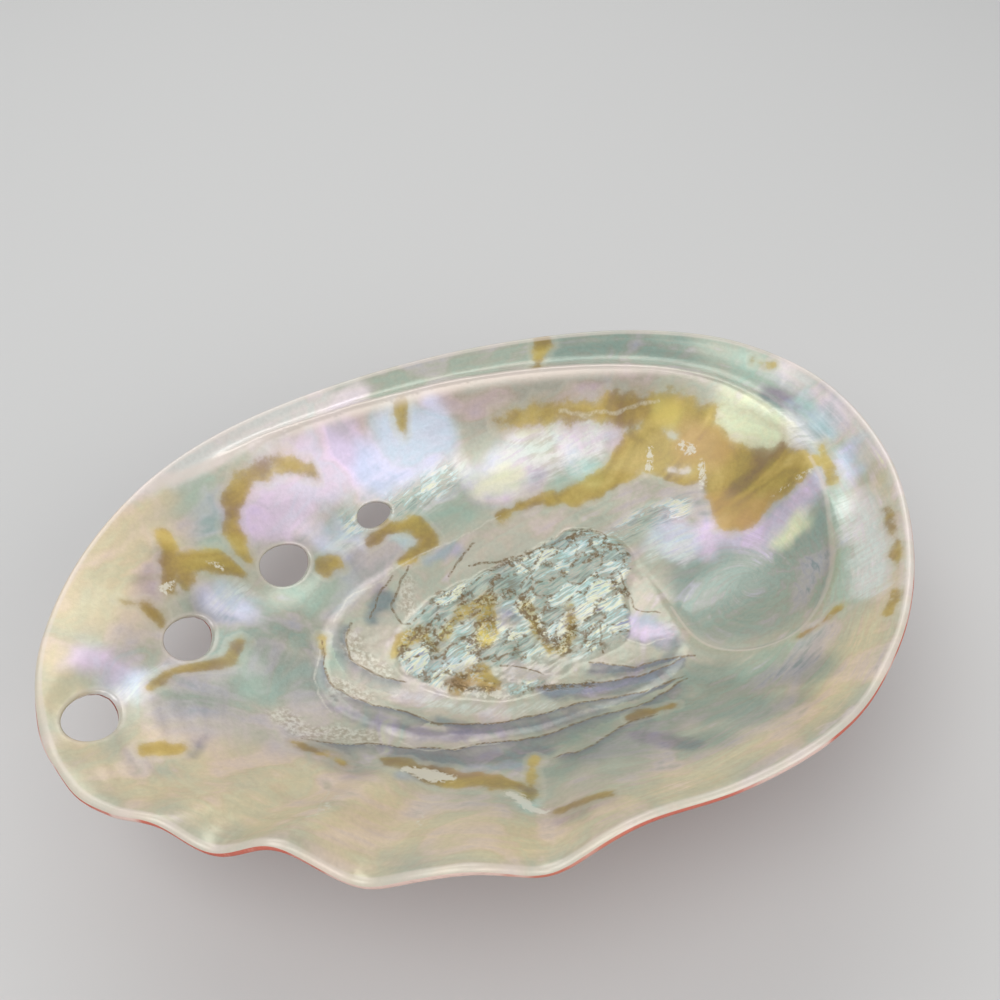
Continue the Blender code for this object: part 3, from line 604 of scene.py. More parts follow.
# Soft tints of the pearl: (name, strokes, colour, softness and raggedness in millimetres, strength)
TINTS = (
    ("beige", BEIGE, CREAM_PEARL, 6.0, 3.0, 0.90),
    ("mist", MIST, MIST_PEARL, 5.0, 3.0, 0.80),
    ("warm", WARM, WARM_PEARL, 3.0, 2.0, 0.85),
    ("teal", TEAL, TEAL_PEARL, 3.4, 2.0, 0.62),
    # mostly painted shade below the terrace steps
    ("dusk_and_step_shade", DUSK_AND_STEP_SHADE, DUSK_PEARL_AND_SHADE, 1.8, 1.0, 0.90),
    # partly a painted highlight
    ("shelf_white_and_highlight", SHELF_WHITE_AND_HIGHLIGHT, SHELF_PEARL_AND_HIGHLIGHT, 2.4, 1.0, 0.95),
    ("lilac", LILAC, LILAC_PEARL, 3.0, 2.0, 0.85),
    ("blue_white", BLUE_WHITE, PALE_BLUE, 3.4, 2.2, 0.85),
    ("scar_cream", SCAR_CREAM, SCAR_CREAM_TONE, 1.6, 1.2, 0.80),
    ("cyan", CYAN, CYAN_PEARL, 1.6, 1.2, 0.65),
    ("violet", VIOLET, BLUE_PEARL, 1.4, 1.2, 0.60),
    # painted highlight
    ("painted_highlight", PAINTED_HIGHLIGHT, PAINTED_HIGHLIGHT_WHITE, 2.2, 1.8, 0.75),
    ("lime", LIME, LIME_PEARL, 2.6, 1.2, 0.90),
)


# Lumps of a tint's edge for each millimetre of raggedness
TINT_LUMPS = 2.6
# How far stains run into the spots that are kept bare, in millimetres
BARE_MARGIN = 1.0


def spline(points, count, closed):
    """Catmull-Rom curve through the points, as count rows."""
    points = np.asarray(points, float)
    if closed:
        padded = np.vstack([points[-1:], points, points[:2]])
        spans = len(points)
    else:
        padded = np.vstack([2 * points[:1] - points[1:2], points, 2 * points[-1:] - points[-2:-1]])
        spans = len(points) - 1
    u = np.linspace(0, spans, count, endpoint=not closed)
    i = np.minimum(u.astype(int), spans - 1)
    t = (u - i)[:, None]
    a, b, c, d = padded[i], padded[i + 1], padded[i + 2], padded[i + 3]
    return 0.5 * (2 * b + (c - a) * t + (2 * a - 5 * b + 4 * c - d) * t**2 + (3 * b - a - 3 * c + d) * t**3)


def inset(curve, amount):
    """A clockwise closed curve moved inwards."""
    along = np.roll(curve, -1, axis=0) - np.roll(curve, 1, axis=0)
    along /= np.linalg.norm(along, axis=1)[:, None]
    return curve + amount * np.column_stack([along[:, 1], -along[:, 0]])


LIP_CURVE = inset(spline(OUTLINE, 900, closed=True), LIP_INSET)
RIDGE_CURVE = spline(RIDGE, 500, closed=False)
ROW_CURVE = spline(HOLE_ROW, 240, closed=False)
SCAR_CURVE = spline(SCAR, 160, closed=True)
ROUGH_CURVE = spline(ROUGH_PATCH, 140, closed=True)


def smooth(low, high, value):
    """0 below low, 1 above high, and a smooth step between."""
    t = np.clip((value - low) / (high - low), 0, 1)
    return t * t * (3 - 2 * t)


def bell(distance, width):
    return np.exp(-((distance / width) ** 2))


def polar(x, y, centre):
    dx, dy = x - centre[0], y - centre[1]
    return np.hypot(dx, dy), np.arctan2(dy, dx)


def lip_radius(angle, centre):
    """Distance from centre to the lip in each direction."""
    r, a = polar(LIP_CURVE[:, 0], LIP_CURVE[:, 1], centre)
    order = np.argsort(a)
    turns = np.concatenate([a[order] - 2 * np.pi, a[order], a[order] + 2 * np.pi])
    return np.interp(angle, turns, np.tile(r[order], 3))


def nearest(curve, x, y):
    """(distance, share of the way along, side) of each point to a curve. Side is positive on its right."""
    distance, share, side = np.empty(len(x)), np.empty(len(x)), np.empty(len(x))
    tangent = np.gradient(curve, axis=0)
    tangent /= np.linalg.norm(tangent, axis=1)[:, None]
    last = len(curve) - 1
    for start in range(0, len(x), BATCH):
        part = slice(start, start + BATCH)
        dx = x[part, None] - curve[None, :, 0]
        dy = y[part, None] - curve[None, :, 1]
        squared = dx**2 + dy**2
        best = squared.argmin(axis=1)
        row = np.arange(len(best))
        cross = tangent[best, 0] * dy[row, best] - tangent[best, 1] * dx[row, best]
        along = tangent[best, 0] * dx[row, best] + tangent[best, 1] * dy[row, best]
        # Between the curve's samples the true distance is the one square to it.
        at_end = (best == 0) | (best == last)
        distance[part] = np.where(at_end, np.sqrt(squared[row, best]), np.abs(cross))
        step = np.linalg.norm(curve[1] - curve[0])
        share[part] = np.clip(best + along / step, 0, last) / last
        side[part] = -np.sign(cross)
    return distance, share, side


def inside(curve, x, y):
    """True where a point is inside a closed curve, by counting crossings."""
    found = np.zeros(len(x), bool)
    for (x0, y0), (x1, y1) in zip(curve, np.roll(curve, -1, axis=0)):
        spans = (y0 > y) != (y1 > y)
        found ^= spans & (x < (x1 - x0) * (y - y0) / (y1 - y0 + 1e-15) + x0)
    return found


def waves(x, y, wavelength, seed):
    """Smooth irregular waves between about -1 and 1, a sum of sines in seeded directions."""
    chance = np.random.default_rng(seed)
    total = np.zeros_like(x)
    for _ in range(7):
        turn, phase = chance.uniform(0, 2 * np.pi, 2)
        number = 2 * np.pi / (wavelength * chance.uniform(0.7, 1.5))
        total += np.sin(number * (x * math.cos(turn) + y * math.sin(turn)) + phase)
    return total / 4


def lip_fold(angle):
    total = np.zeros_like(angle)
    for centre, half, height in LIP_FOLDS:
        off = (np.degrees(angle) - centre + 180) % 360 - 180
        total += height * bell(off, half)
    return total


def bowl(x, y):
    """Height of the plain bowl, with the folds of its lip."""
    r, angle = polar(x, y, BOWL_CENTRE)
    share = np.clip(r / lip_radius(angle, BOWL_CENTRE), 0, 1)
    power = BOWL_POWER - COLUMELLA_POWER_DROP * np.cos(angle - COLUMELLA_DIRECTION)
    flare = BOWL_FLARE + FLARE_GAIN * np.cos(angle - FLARE_DIRECTION)
    depth = BOWL_DEPTH * (1 - share**power) ** flare
    return RIM_Z + lip_fold(angle) * share**FOLD_REACH - depth


def wall_base(x, y):
    """The bowl with the soft hollow of the spire, which the outside follows."""
    return bowl(x, y) - SPIRE_DEPTH * bell(polar(x, y, APEX)[0], SPIRE_RADIUS)


def pit(x, y):
    """Depth of the pit, which ends sharply at the shelf's edge and softly past the edge's tip."""
    distance, share, side = nearest(RIDGE_CURVE, x, y)
    tip = RIDGE_CURVE[-1]
    ahead = tip - RIDGE_CURVE[-5]
    ahead = ahead / np.linalg.norm(ahead)
    dx, dy = x - tip[0], y - tip[1]
    past = np.maximum(dx * ahead[0] + dy * ahead[1], 0)
    at_tip = share > 0.999
    signed = np.where(at_tip, dx * ahead[1] - dy * ahead[0], side * distance)
    width = PIT_EDGE + PIT_TIP_EDGE * smooth(0.78, 1.0, share) + np.where(at_tip, PIT_TIP_SPREAD * past, 0)
    depth = np.exp(-((polar(x, y, APEX)[0] / PIT_RADIUS) ** PIT_POWER))
    return PIT_DEPTH * smooth(-width, width, signed) * depth


def shelved(x, y, floor):
    """The bowl's height with the columella shelf laid along the lip, up to its inner edge."""
    distance, share, side = nearest(RIDGE_CURVE, x, y)
    edge_depth = RIDGE_DEPTH + RIDGE_DROP * share**RIDGE_DROP_POWER
    r, angle = polar(x, y, BOWL_CENTRE)
    to_lip = np.clip(lip_radius(angle, BOWL_CENTRE) - r, 0, None)
    across = to_lip / (to_lip + distance + 1e-9)
    hold = 1 - smooth(RIDGE_HOLDS_UNTIL, RIDGE_FADES_BY, share)
    starts = smooth(0.0, RIDGE_STARTS, share)
    shelf = RIM_Z - edge_depth * across**SHELF_BEND - SHELF_DISH * starts * np.sin(np.pi * across) ** 2
    falls = 1 - np.exp(-((distance / WALL_FOOT) ** WALL_BEND))
    edge = RIM_Z - edge_depth
    wall_height = edge + (floor - edge) * falls
    raised = np.where(side > 0, wall_height, shelf)
    bead = SHELF_BEAD * bell(distance, SHELF_BEAD_WIDTH) * starts
    return floor + (raised + bead - floor) * hold * starts


def within(curve, x, y, edge):
    """1 inside a closed curve and 0 outside it, with a smooth step over the edge."""
    return smooth(-edge, edge, depth_inside(curve, x, y))


def depth_inside(curve, x, y):
    """Distance to a closed curve, positive inside it."""
    distance = nearest(curve, x, y)[0]
    return np.where(inside(curve, x, y), distance, -distance)


def scar_height(x, y):
    """The muscle scar's rise over the floor, with low lumps on its rough patch."""
    lumps = ROUGH_LUMP * waves(x, y, ROUGH_LUMP_SIZE, 5)
    rough = within(ROUGH_CURVE, x, y, SCAR_EDGE) * (ROUGH_RISE + lumps)
    return SCAR_RISE * within(SCAR_CURVE, x, y, SCAR_EDGE) + rough


def beyond_hole(hole, x, y):
    """Rough distance outside a breathing hole's edge."""
    return np.maximum(hole_shape(hole, x, y) - 1, 0) * hole[3]


def inner_height(x, y):
    row = nearest(ROW_CURVE, x, y)[0]
    groove = ROW_GROOVE * bell(row, ROW_GROOVE_WIDTH)
    for hole in HOLES:
        groove = groove + HOLE_FUNNEL * bell(beyond_hole(hole, x, y), HOLE_COLLAR_WIDTH)
    return shelved(x, y, bowl(x, y) - groove - pit(x, y)) + scar_height(x, y)


def growth(x, y):
    """How grown the shell was when its lip passed each point: 0 at the apex and 1 at today's lip."""
    r, angle = polar(x, y, APEX)
    age = r / lip_radius(angle, APEX)
    for _ in range(4):
        age = r / lip_radius(angle + GROWTH_TWIST * np.log(np.clip(age, 0.05, 1)), APEX)
    return np.clip(age, 0, 1)


def suture(x, y):
    """Depth of the groove between the coils of the spire."""
    r, angle = polar(x, y, APEX)
    turns = angle / (2 * np.pi) - np.log(np.maximum(r, 1e-5) / SUTURE_START) / (SUTURE_GROWTH * 2 * np.pi)
    off = np.abs(turns - np.round(turns))
    fade = smooth(SUTURE_REACH, 0.6 * SUTURE_REACH, r) * smooth(0.4 * SUTURE_START, 2.4 * SUTURE_START, r)
    return SUTURE_DEPTH * bell(off, SUTURE_WIDTH) * fade


def hole_shape(hole, x, y):
    """Distance from a breathing hole's middle as a share of its edge, which is slightly egg-shaped."""
    cx, cy, length, width, turn = hole
    c, s = math.cos(math.radians(turn)), math.sin(math.radians(turn))
    along = ((x - cx) * c + (y - cy) * s) / length
    across = (-(x - cx) * s + (y - cy) * c) / (width * (1 - HOLE_EGG * along))
    return np.hypot(along, across)


def closed_hole_height(x, y):
    """The filled older holes of the row, which shrink and crowd towards the spire."""
    total = np.zeros_like(x)
    for k in range(CLOSED_HOLES):
        size = CLOSED_HOLE_SHRINK**k
        share = CLOSED_HOLES_FROM + CLOSED_HOLES_SPAN * (1 - size)
        r = polar(x, y, ROW_CURVE[int(share * (len(ROW_CURVE) - 1))])[0]
        width = CLOSED_HOLE_WIDTH * size
        mound = bell(r, width) - CLOSED_HOLE_DIMPLE * bell(r, CLOSED_HOLE_DIMPLE * width)
        total += CLOSED_HOLE_HEIGHT * size * mound
    return total


def spiral_angle(x, y):
    """Direction from the apex, unwound so that the shell's spiral cords keep one value each."""
    r, angle = polar(x, y, APEX)
    return angle - np.log(np.maximum(r, 1e-4)) / CORD_EXPANSION


def outer_relief(x, y):
    """How far the outside stands out from the plain wall: keel, collars, coil, cords, rings and lumps."""
    row = nearest(ROW_CURVE, x, y)[0]
    age = growth(x, y)
    relief = ROW_KEEL * bell(row, ROW_KEEL_WIDTH) * smooth(0.05, 0.3, age)
    relief += closed_hole_height(x, y) - suture(x, y)
    relief += CORD_HEIGHT * np.cos(CORDS * spiral_angle(x, y)) * smooth(0.15, 0.35, age)
    for at, height in GROWTH_RINGS:
        relief += height * bell(age - at, RING_WIDTH)
    relief += LUMP_HEIGHT * waves(x, y, LUMP_SIZE, 11)
    relief *= smooth(*RELIEF_FADE, age)
    for hole in HOLES:
        near = bell(beyond_hole(hole, x, y), HOLE_COLLAR_WIDTH)
        relief += near * (HOLE_COLLAR + HOLE_WALL - wall(x, y) - relief)
    return relief


def wall(x, y):
    """Thickness of the plain wall, thin at the lip and thick in the floor."""
    r, angle = polar(x, y, BOWL_CENTRE)
    share = np.clip(r / lip_radius(angle, BOWL_CENTRE), 0, 1)
    return FLOOR_WALL + (LIP_WALL - FLOOR_WALL) * share**WALL_TAPER


def wall_slopes(x, y):
    step = SLOPE_STEP
    dzdx = (wall_base(x + step, y) - wall_base(x - step, y)) / (2 * step)
    dzdy = (wall_base(x, y + step) - wall_base(x, y - step)) / (2 * step)
    return dzdx, dzdy


def base_normals(x, y):
    """Upward unit normals of the wall's base."""
    dzdx, dzdy = wall_slopes(x, y)
    share = polar(x, y, BOWL_CENTRE)[0] / lip_radius(polar(x, y, BOWL_CENTRE)[1], BOWL_CENTRE)
    # Past the lip the bowl is undefined, so slopes there are read just inside it.
    near = share > 0.985
    if near.any():
        cx, cy = BOWL_CENTRE
        pull = (0.98 / share[near])[:, None]
        moved = (np.column_stack([x[near], y[near]]) - (cx, cy)) * pull + (cx, cy)
        mx, my = moved.T
        dzdx[near], dzdy[near] = wall_slopes(mx, my)
    normals = np.column_stack([-dzdx, -dzdy, np.ones(len(x))])
    return normals / np.linalg.norm(normals, axis=1)[:, None]


def noise_at(x, y, size, seed, octaves=3):
    """Fractal noise, about -1 to 1, with lumps of the given size in millimetres."""
    points = np.column_stack([x, y]) / (size * MM)
    return np.array([noise.fractal(Vector((px, py, seed)), 0.9, 2.1, octaves) for px, py in points])


def wandered(x, y):
    """The places moved a little, so that the drawn lines wander."""
    dx = noise_at(x, y, LINE_WANDER_SIZE, 2.2, 2)
    dy = noise_at(x, y, LINE_WANDER_SIZE, 8.8, 2)
    return x + LINE_WANDER * MM * dx, y + LINE_WANDER * MM * dy


def nearest_lines(lines, x, y):
    """For each drawn line, the distance in millimetres, share along and side of each point."""
    wx, wy = wandered(x, y)
    for line in lines:
        curve = spline(np.array(line) * MM - CENTRING[:2], LINE_SAMPLES, closed=False)
        distance, share, side = nearest(curve, wx, wy)
        yield distance / MM, share, side


def layer_steps(x, y):
    """Low steps of the pearl layers round the scar: sharp at each line, fading on the scar's side."""
    total = np.zeros_like(x)
    for distance, share, side in nearest_lines(LAYER_EDGES, x, y):
        signed = -side * distance
        sharp = smooth(-LAYER_STEP_SOFTNESS, LAYER_STEP_SOFTNESS, signed)
        ends = smooth(0.0, 0.1, share) * smooth(1.0, 0.9, share)
        total += LAYER_STEP * MM * sharp * bell(np.maximum(signed, 0), LAYER_STEP_REACH) * ends
    return total


def line_gap(lines, x, y):
    """Distance in millimetres to the nearest of the lines."""
    best = np.full(len(x), FAR)
    for distance, _, _ in nearest_lines(lines, x, y):
        best = np.minimum(best, distance)
    return best


def painted_step_shade(x, y):
    """Painted shade and painted light beside the layer edges: up to 1 just outside a line, where shade is
    painted, and down to -1 just inside it, where light is painted.
    """
    best = np.full(len(x), FAR)
    total = np.zeros(len(x))
    for distance, share, side in nearest_lines(LAYER_EDGES, x, y):
        ends = smooth(0.0, 0.08, share) * smooth(1.0, 0.92, share)
        closer = distance < best
        total = np.where(closer, side * np.exp(-distance / STEP_SHADE_FADE) * ends, total)
        best = np.minimum(best, distance)
    return total


def comb_place(x, y):
    """(along, across) the combed blades of the scar in millimetres; their direction bends slowly."""
    mx, my = x / MM, y / MM
    return mx, my - COMB_SLOPE[0] * mx - COMB_SLOPE[1] * mx**2


def blades(x, y):
    """For each point, its blade's chance number, its place along the blade and its distance to the edge."""
    along, across = comb_place(x, y)
    chance, place, edge = np.empty(len(x)), np.empty(len(x)), np.empty(len(x))
    for k, (a, b) in enumerate(zip(along / BLADE_LENGTH, across / BLADE_WIDTH)):
        wobble = noise.noise(Vector((a * 2.3, b * 1.1, 7.7)))
        apart, middles = noise.voronoi(Vector((a + 0.15 * wobble, b + 0.35 * wobble, 0.5)))
        chance[k] = 0.5 + 0.5 * noise.cell(middles[0] * 9.7)
        place[k] = a - middles[0].x
        edge[k] = apart[1] - apart[0]
    return chance, place, edge


def combed(x, y):
    """Fine ridges that run along the blades, about -1 to 1."""
    along, across = comb_place(x, y)
    points = zip(along / BLADE_LENGTH, across / COMB_WIDTH)
    return np.array([noise.fractal(Vector((a, b, 3.7)), 0.8, 2.1, 2) for a, b in points])


def fine_relief(x, y):
    """Height that the fine mesh adds to the part's inside."""
    total = PEARL_WAVE * MM * noise_at(x, y, PEARL_WAVE_SIZE, 1.3, 2)
    total += PEARL_RIPPLE * MM * noise_at(x, y, PEARL_RIPPLE_SIZE, 5.1, 2)
    total *= smooth(0.0, PEARL_WAVE_STARTS * MM, depth_inside(LIP_CURVE, x, y))
    age = growth(x, y)
    warp = LIP_RIPPLE_WARP * noise_at(x, y, LIP_RIPPLE_WARP_SIZE, 3.1, 2)
    ripples = np.sin(2 * np.pi * LIP_RIPPLE_COUNT * age + warp)
    ripples *= 0.5 + noise_at(x, y, LIP_RIPPLE_PATCH_SIZE, 6.3, 1)
    total += LIP_RIPPLE * MM * ripples * smooth(0.78, 0.88, age) * smooth(1.0, 0.97, age)
    bead, share, _ = nearest(RIDGE_CURVE, x, y)
    beaded = smooth(RIDGE_HOLDS_UNTIL, RIDGE_FADES_BY, share)
    total += RIM_BEAD * MM * bell(bead / MM, RIM_BEAD_WIDTH) * beaded
    near = depth_inside(SCAR_CURVE, x, y)
    scar = near > -SCAR_REACH * MM
    sx, sy = x[scar], y[scar]
    grain = noise_at(sx, sy, SCAR_GRAIN_SIZE, 9.2)
    rough = smooth(-1.0 * MM, 1.5 * MM, depth_inside(ROUGH_CURVE, sx, sy))
    chance, place, edge = blades(sx, sy)
    extra = layer_steps(sx, sy)
    tilted = BLADE_TILT * (chance - 0.5) * 0.6 - BLADE_TILT * place
    extra += rough * MM * (tilted * smooth(0.0, 0.12, edge) + COMB_HEIGHT * combed(sx, sy))
    extra += SCAR_GRAIN * MM * grain * smooth(-2 * MM, 2 * MM, near[scar])
    total[scar] += extra
    return total


def inner_points(plan):
    x, y = plan.T
    return np.column_stack([x, y, inner_height(x, y) + fine_relief(x, y)])


def outer_points(plan):
    """The outside sheet: the base pushed out along its normals, and cut flat where it rests."""
    x, y = plan.T
    base = np.column_stack([x, y, wall_base(x, y)])
    age = growth(x, y)
    warp = GROWTH_LINE_WARP * noise_at(x, y, GROWTH_LINE_WARP_SIZE, 4.4)
    lines = np.sin(2 * np.pi * GROWTH_LINE_COUNT * age + warp)
    fine = GROWTH_LINE_HEIGHT * lines + CRUST_GRAIN * noise_at(x, y, CRUST_GRAIN_SIZE, 8.8)
    fine *= MM * smooth(1.0, 0.93, age)
    thickness = wall(x, y) + outer_relief(x, y) + fine
    points = base - base_normals(x, y) * thickness[:, None]
    points[:, 2] = np.maximum(points[:, 2], 0)
    return points


def hole_plan(hole, count, flare):
    """The edge of a breathing hole seen from above, anticlockwise."""
    cx, cy, length, width, turn = hole
    length, width = length * flare, width * flare
    t = np.linspace(0, 2 * np.pi, count, endpoint=False)
    along = np.cos(t)
    across = np.sin(t) * (1 - HOLE_EGG * along) * width
    c, s = math.cos(math.radians(turn)), math.sin(math.radians(turn))
    return np.column_stack([cx + along * length * c - across * s, cy + along * length * s + across * c])


def even_loop(curve, count):
    """count points spaced evenly along a closed curve."""
    closed = np.vstack([curve, curve[:1]])
    travelled = np.concatenate([[0], np.cumsum(np.linalg.norm(np.diff(closed, axis=0), axis=1))])
    at = np.linspace(0, travelled[-1], count, endpoint=False)
    return np.column_stack([np.interp(at, travelled, closed[:, k]) for k in range(2)])


def lattice(spacing):
    """Points of a triangular lattice over the outline's box."""
    low, high = LIP_CURVE.min(0), LIP_CURVE.max(0)
    rows = np.arange(low[1], high[1], spacing * math.sqrt(3) / 2)
    points = []
    for k, y in enumerate(rows):
        x = np.arange(low[0] + (k % 2) * spacing / 2, high[0], spacing)
        points.append(np.column_stack([x, np.full(len(x), y)]))
    return np.vstack(points)


def ridge_rows():
    """Points along the shelf's inner edge and beside it."""
    offsets = np.arange(-3.0, 4.1, 0.5) * MM
    count = int(np.linalg.norm(np.diff(RIDGE_CURVE, axis=0), axis=1).sum() / (1.3 * ROW_SPACING))
    curve = spline(RIDGE, count, closed=False)
    tangent = np.gradient(curve, axis=0)
    tangent /= np.linalg.norm(tangent, axis=1)[:, None]
    right = np.column_stack([tangent[:, 1], -tangent[:, 0]])
    return np.vstack([curve + right * offset for offset in offsets])


def lip_rows(spacing):
    """Rows of points just inside the lip."""
    return np.vstack([even_loop(inset(LIP_CURVE, k * spacing), LIP_POINTS - 8 * k) for k in (1, 2, 3)])


def hole_rows(flares):
    return np.vstack([hole_plan(hole, HOLE_POINTS, flare) for hole in HOLES for flare in flares])


def fine_lattice():
    """The finer lattice, on the scar and beside the drawn lines outside it."""
    points = lattice(SCAR_SPACING)
    on_scar = inside(SCAR_CURVE * SCAR_MARGIN, points[:, 0], points[:, 1])
    rest = points[~on_scar]
    by_line = line_gap(LAYER_EDGES + BROWN_LINES + PALE_LINES, rest[:, 0], rest[:, 1]) < LINE_MARGIN
    return np.vstack([points[on_scar], rest[by_line]])


def add_clear(kept, points, apart):
    """kept, with each of the points that is clear of all of kept."""
    tree = KDTree(len(kept))
    for k, (x, y) in enumerate(kept):
        tree.insert((x, y, 0), k)
    tree.balance()
    clear = np.array([tree.find((x, y, 0))[2] > apart for x, y in points])
    return np.vstack([kept, points[clear]])


def sheet_plan(loops, layers):
    """(points, triangles) over the lip's inside, less the holes. The loops' points come first, in order."""
    border = np.vstack(loops)
    points = border
    for more, spacing in layers:
        points = add_clear(points, more, CLEARANCE * spacing)
    keep = inside(loops[0], points[:, 0], points[:, 1])
    for loop in loops[1:]:
        keep &= ~inside(loop, points[:, 0], points[:, 1])
    keep[: len(border)] = True
    points = points[keep]
    edges, start = [], 0
    for loop in loops:
        n = len(loop)
        edges += [(start + i, start + (i + 1) % n) for i in range(n)]
        start += n
    made = delaunay_2d_cdt([Vector(p) for p in points], edges, [], 0, 1e-9)
    plan = np.array([tuple(v) for v in made[0]])
    faces = np.array(made[2])
    middle = plan[faces].mean(axis=1)
    kept = inside(loops[0], middle[:, 0], middle[:, 1])
    for loop in loops[1:]:
        kept &= ~inside(loop, middle[:, 0], middle[:, 1])
    faces = faces[kept]
    a, b, c = plan[faces[:, 0]], plan[faces[:, 1]], plan[faces[:, 2]]
    turned = (b[:, 0] - a[:, 0]) * (c[:, 1] - a[:, 1]) - (b[:, 1] - a[:, 1]) * (c[:, 0] - a[:, 0]) < 0
    faces[turned] = faces[turned][:, ::-1]
    return plan, faces


def edge_rings(top, bottom, outward):
    """Rings between two loops that bulge outward, as a rounded edge does."""
    rings = []
    half = np.minimum(np.linalg.norm(top - bottom, axis=1)[:, None] / 2, EDGE_BULGE)
    for k in range(1, EDGE_STEPS):
        t = np.pi * k / EDGE_STEPS
        rings.append((top + bottom) / 2 + (top - bottom) / 2 * math.cos(t) + outward * half * math.sin(t))
    return rings


def outward_of(loop, normals):
    """Unit vectors from the sheet's material across its edge, square to its normals."""
    along = np.roll(loop, -1, axis=0) - np.roll(loop, 1, axis=0)
    out = np.cross(normals, along)
    return out / np.linalg.norm(out, axis=1)[:, None]


def build_shell():
    """Points, triangles, each triangle's material, and each point's place in plan."""
    lip = even_loop(LIP_CURVE, LIP_POINTS)
    in_loops = [lip] + [hole_plan(hole, HOLE_POINTS, 1) for hole in HOLES]
    out_loops = [lip] + [hole_plan(hole, HOLE_POINTS, HOLE_FLARE) for hole in HOLES]
    in_layers = (
        (lip_rows(ROW_SPACING), ROW_SPACING),
        (hole_rows((1.07, 1.15, 1.24)), 0.8 * ROW_SPACING),
        (ridge_rows(), ROW_SPACING),
        (fine_lattice(), SCAR_SPACING),
        (lattice(INSIDE_SPACING), INSIDE_SPACING),
    )
    out_layers = ((lip_rows(ROW_SPACING), ROW_SPACING), (lattice(OUTSIDE_SPACING), OUTSIDE_SPACING))
    in_plan, in_faces = sheet_plan(in_loops, in_layers)
    out_plan, out_faces = sheet_plan(out_loops, out_layers)
    inner, outer = inner_points(in_plan), outer_points(out_plan)
    points = [inner, outer]
    plans = [in_plan, out_plan]
    faces = [in_faces, out_faces[:, ::-1] + len(inner)]
    looks = [np.zeros(len(in_faces), int), np.ones(len(out_faces), int)]
    total, start = len(inner) + len(outer), 0
    for loop in in_loops:
        n = len(loop)
        ids = np.arange(start, start + n)
        outward = outward_of(inner[ids], base_normals(*loop.T))
        rows = [ids]
        for ring in edge_rings(inner[ids], outer[ids], outward):
            points.append(ring)
            plans.append(loop)
            rows.append(np.arange(total, total + n))
            total += n
        rows.append(ids + len(inner))
        for step, (upper, lower) in enumerate(zip(rows, rows[1:])):
            nu, nl = np.roll(upper, -1), np.roll(lower, -1)
            faces += [np.column_stack([upper, nl, lower]), np.column_stack([upper, nu, nl])]
            looks += [np.full(2 * n, int(step >= EDGE_STEPS // 2))]
        start += n
    places = (np.vstack(points) + CENTRING) * (1, 1, HEIGHT_FIT)
    return places, np.vstack(faces), np.concatenate(looks), np.vstack(plans)


def stroke_field(strokes, x, y):
    """Distance inside the nearest stroke in millimetres, negative outside all of them."""
    best = np.full(len(x), -FAR)
    for stroke in strokes:
        for (ax, ay, ar), (bx, by, br) in zip(stroke, stroke[1:]):
            dx, dy = bx - ax, by - ay
            t = np.clip(((x - ax) * dx + (y - ay) * dy) / (dx * dx + dy * dy + 1e-9), 0, 1)
            away = np.hypot(x - ax - t * dx, y - ay - t * dy)
            best = np.maximum(best, ar + t * (br - ar) - away)
    return best


def shell_fields(plan):
    """What the materials need to know at each point, by name."""
    x, y = plan.T
    mx, my = (x + CENTRING[0]) / MM, (y + CENTRING[1]) / MM
    ridge, ridge_share, ridge_side = nearest(RIDGE_CURVE, x, y)
    hole = np.full(len(x), FAR)
    for one in HOLES:
        hole = np.minimum(hole, beyond_hole(one, x, y) / MM)
    shelf = np.where(ridge_side < 0, ridge, -ridge) / MM
    shelf = np.where(ridge_share < RIDGE_HOLDS_UNTIL, shelf, -20)
    chance, _, edge = blades(x, y)
    along, across = comb_place(x, y)
    fields = {
        "lip_gap": depth_inside(LIP_CURVE, x, y) / MM,
        "age": growth(x, y),
        "spiral": spiral_angle(x, y),
        "shelf": shelf,
        "rim": np.where(ridge_share > RIDGE_HOLDS_UNTIL, ridge / MM, 20.0),
        "pit": pit(x, y) / PIT_DEPTH,
        "hole": hole,
        "rough": depth_inside(ROUGH_CURVE, x, y) / MM,
        "brown_line": line_gap(LAYER_EDGES + BROWN_LINES, x, y),
        "pale_line": line_gap(PALE_LINES, x, y),
        "blade": chance,
        "blade_edge": edge,
        "comb_along": along,
        "comb_across": across,
        # Distance to the shelf's inner edge, along which a white highlight line is painted
        "bead": ridge / MM + 6 * smooth(0.28, RIDGE_HOLDS_UNTIL, ridge_share),
        "painted_step_shade": painted_step_shade(x, y),
    }
    for name, strokes in PLAIN_MARKS:
        fields[name] = stroke_field(strokes, mx, my)
    for name, strokes, ragged_mm, size, seed, octaves in RAGGED_MARKS:
        fields[name] = stroke_field(strokes, mx, my) + ragged_mm * noise_at(x, y, size, seed, octaves)
    fields["stain"] = np.minimum(fields["stain"], BARE_MARGIN - stroke_field(LIME + BARE, mx, my))
    for k, (name, strokes, _, _, ragged_mm, _) in enumerate(TINTS):
        wobble = noise_at(x, y, TINT_LUMPS * ragged_mm, 30.0 + k, 2)
        fields[name] = stroke_field(strokes, mx, my) + ragged_mm * wobble
    return fields


def linear(colour):
    """A seen colour of 0 to 255 as the shader's linear RGBA."""
    parts = [c / 255 for c in colour]
    return tuple(c / 12.92 if c <= 0.04045 else ((c + 0.055) / 1.055) ** 2.4 for c in parts) + (1.0,)


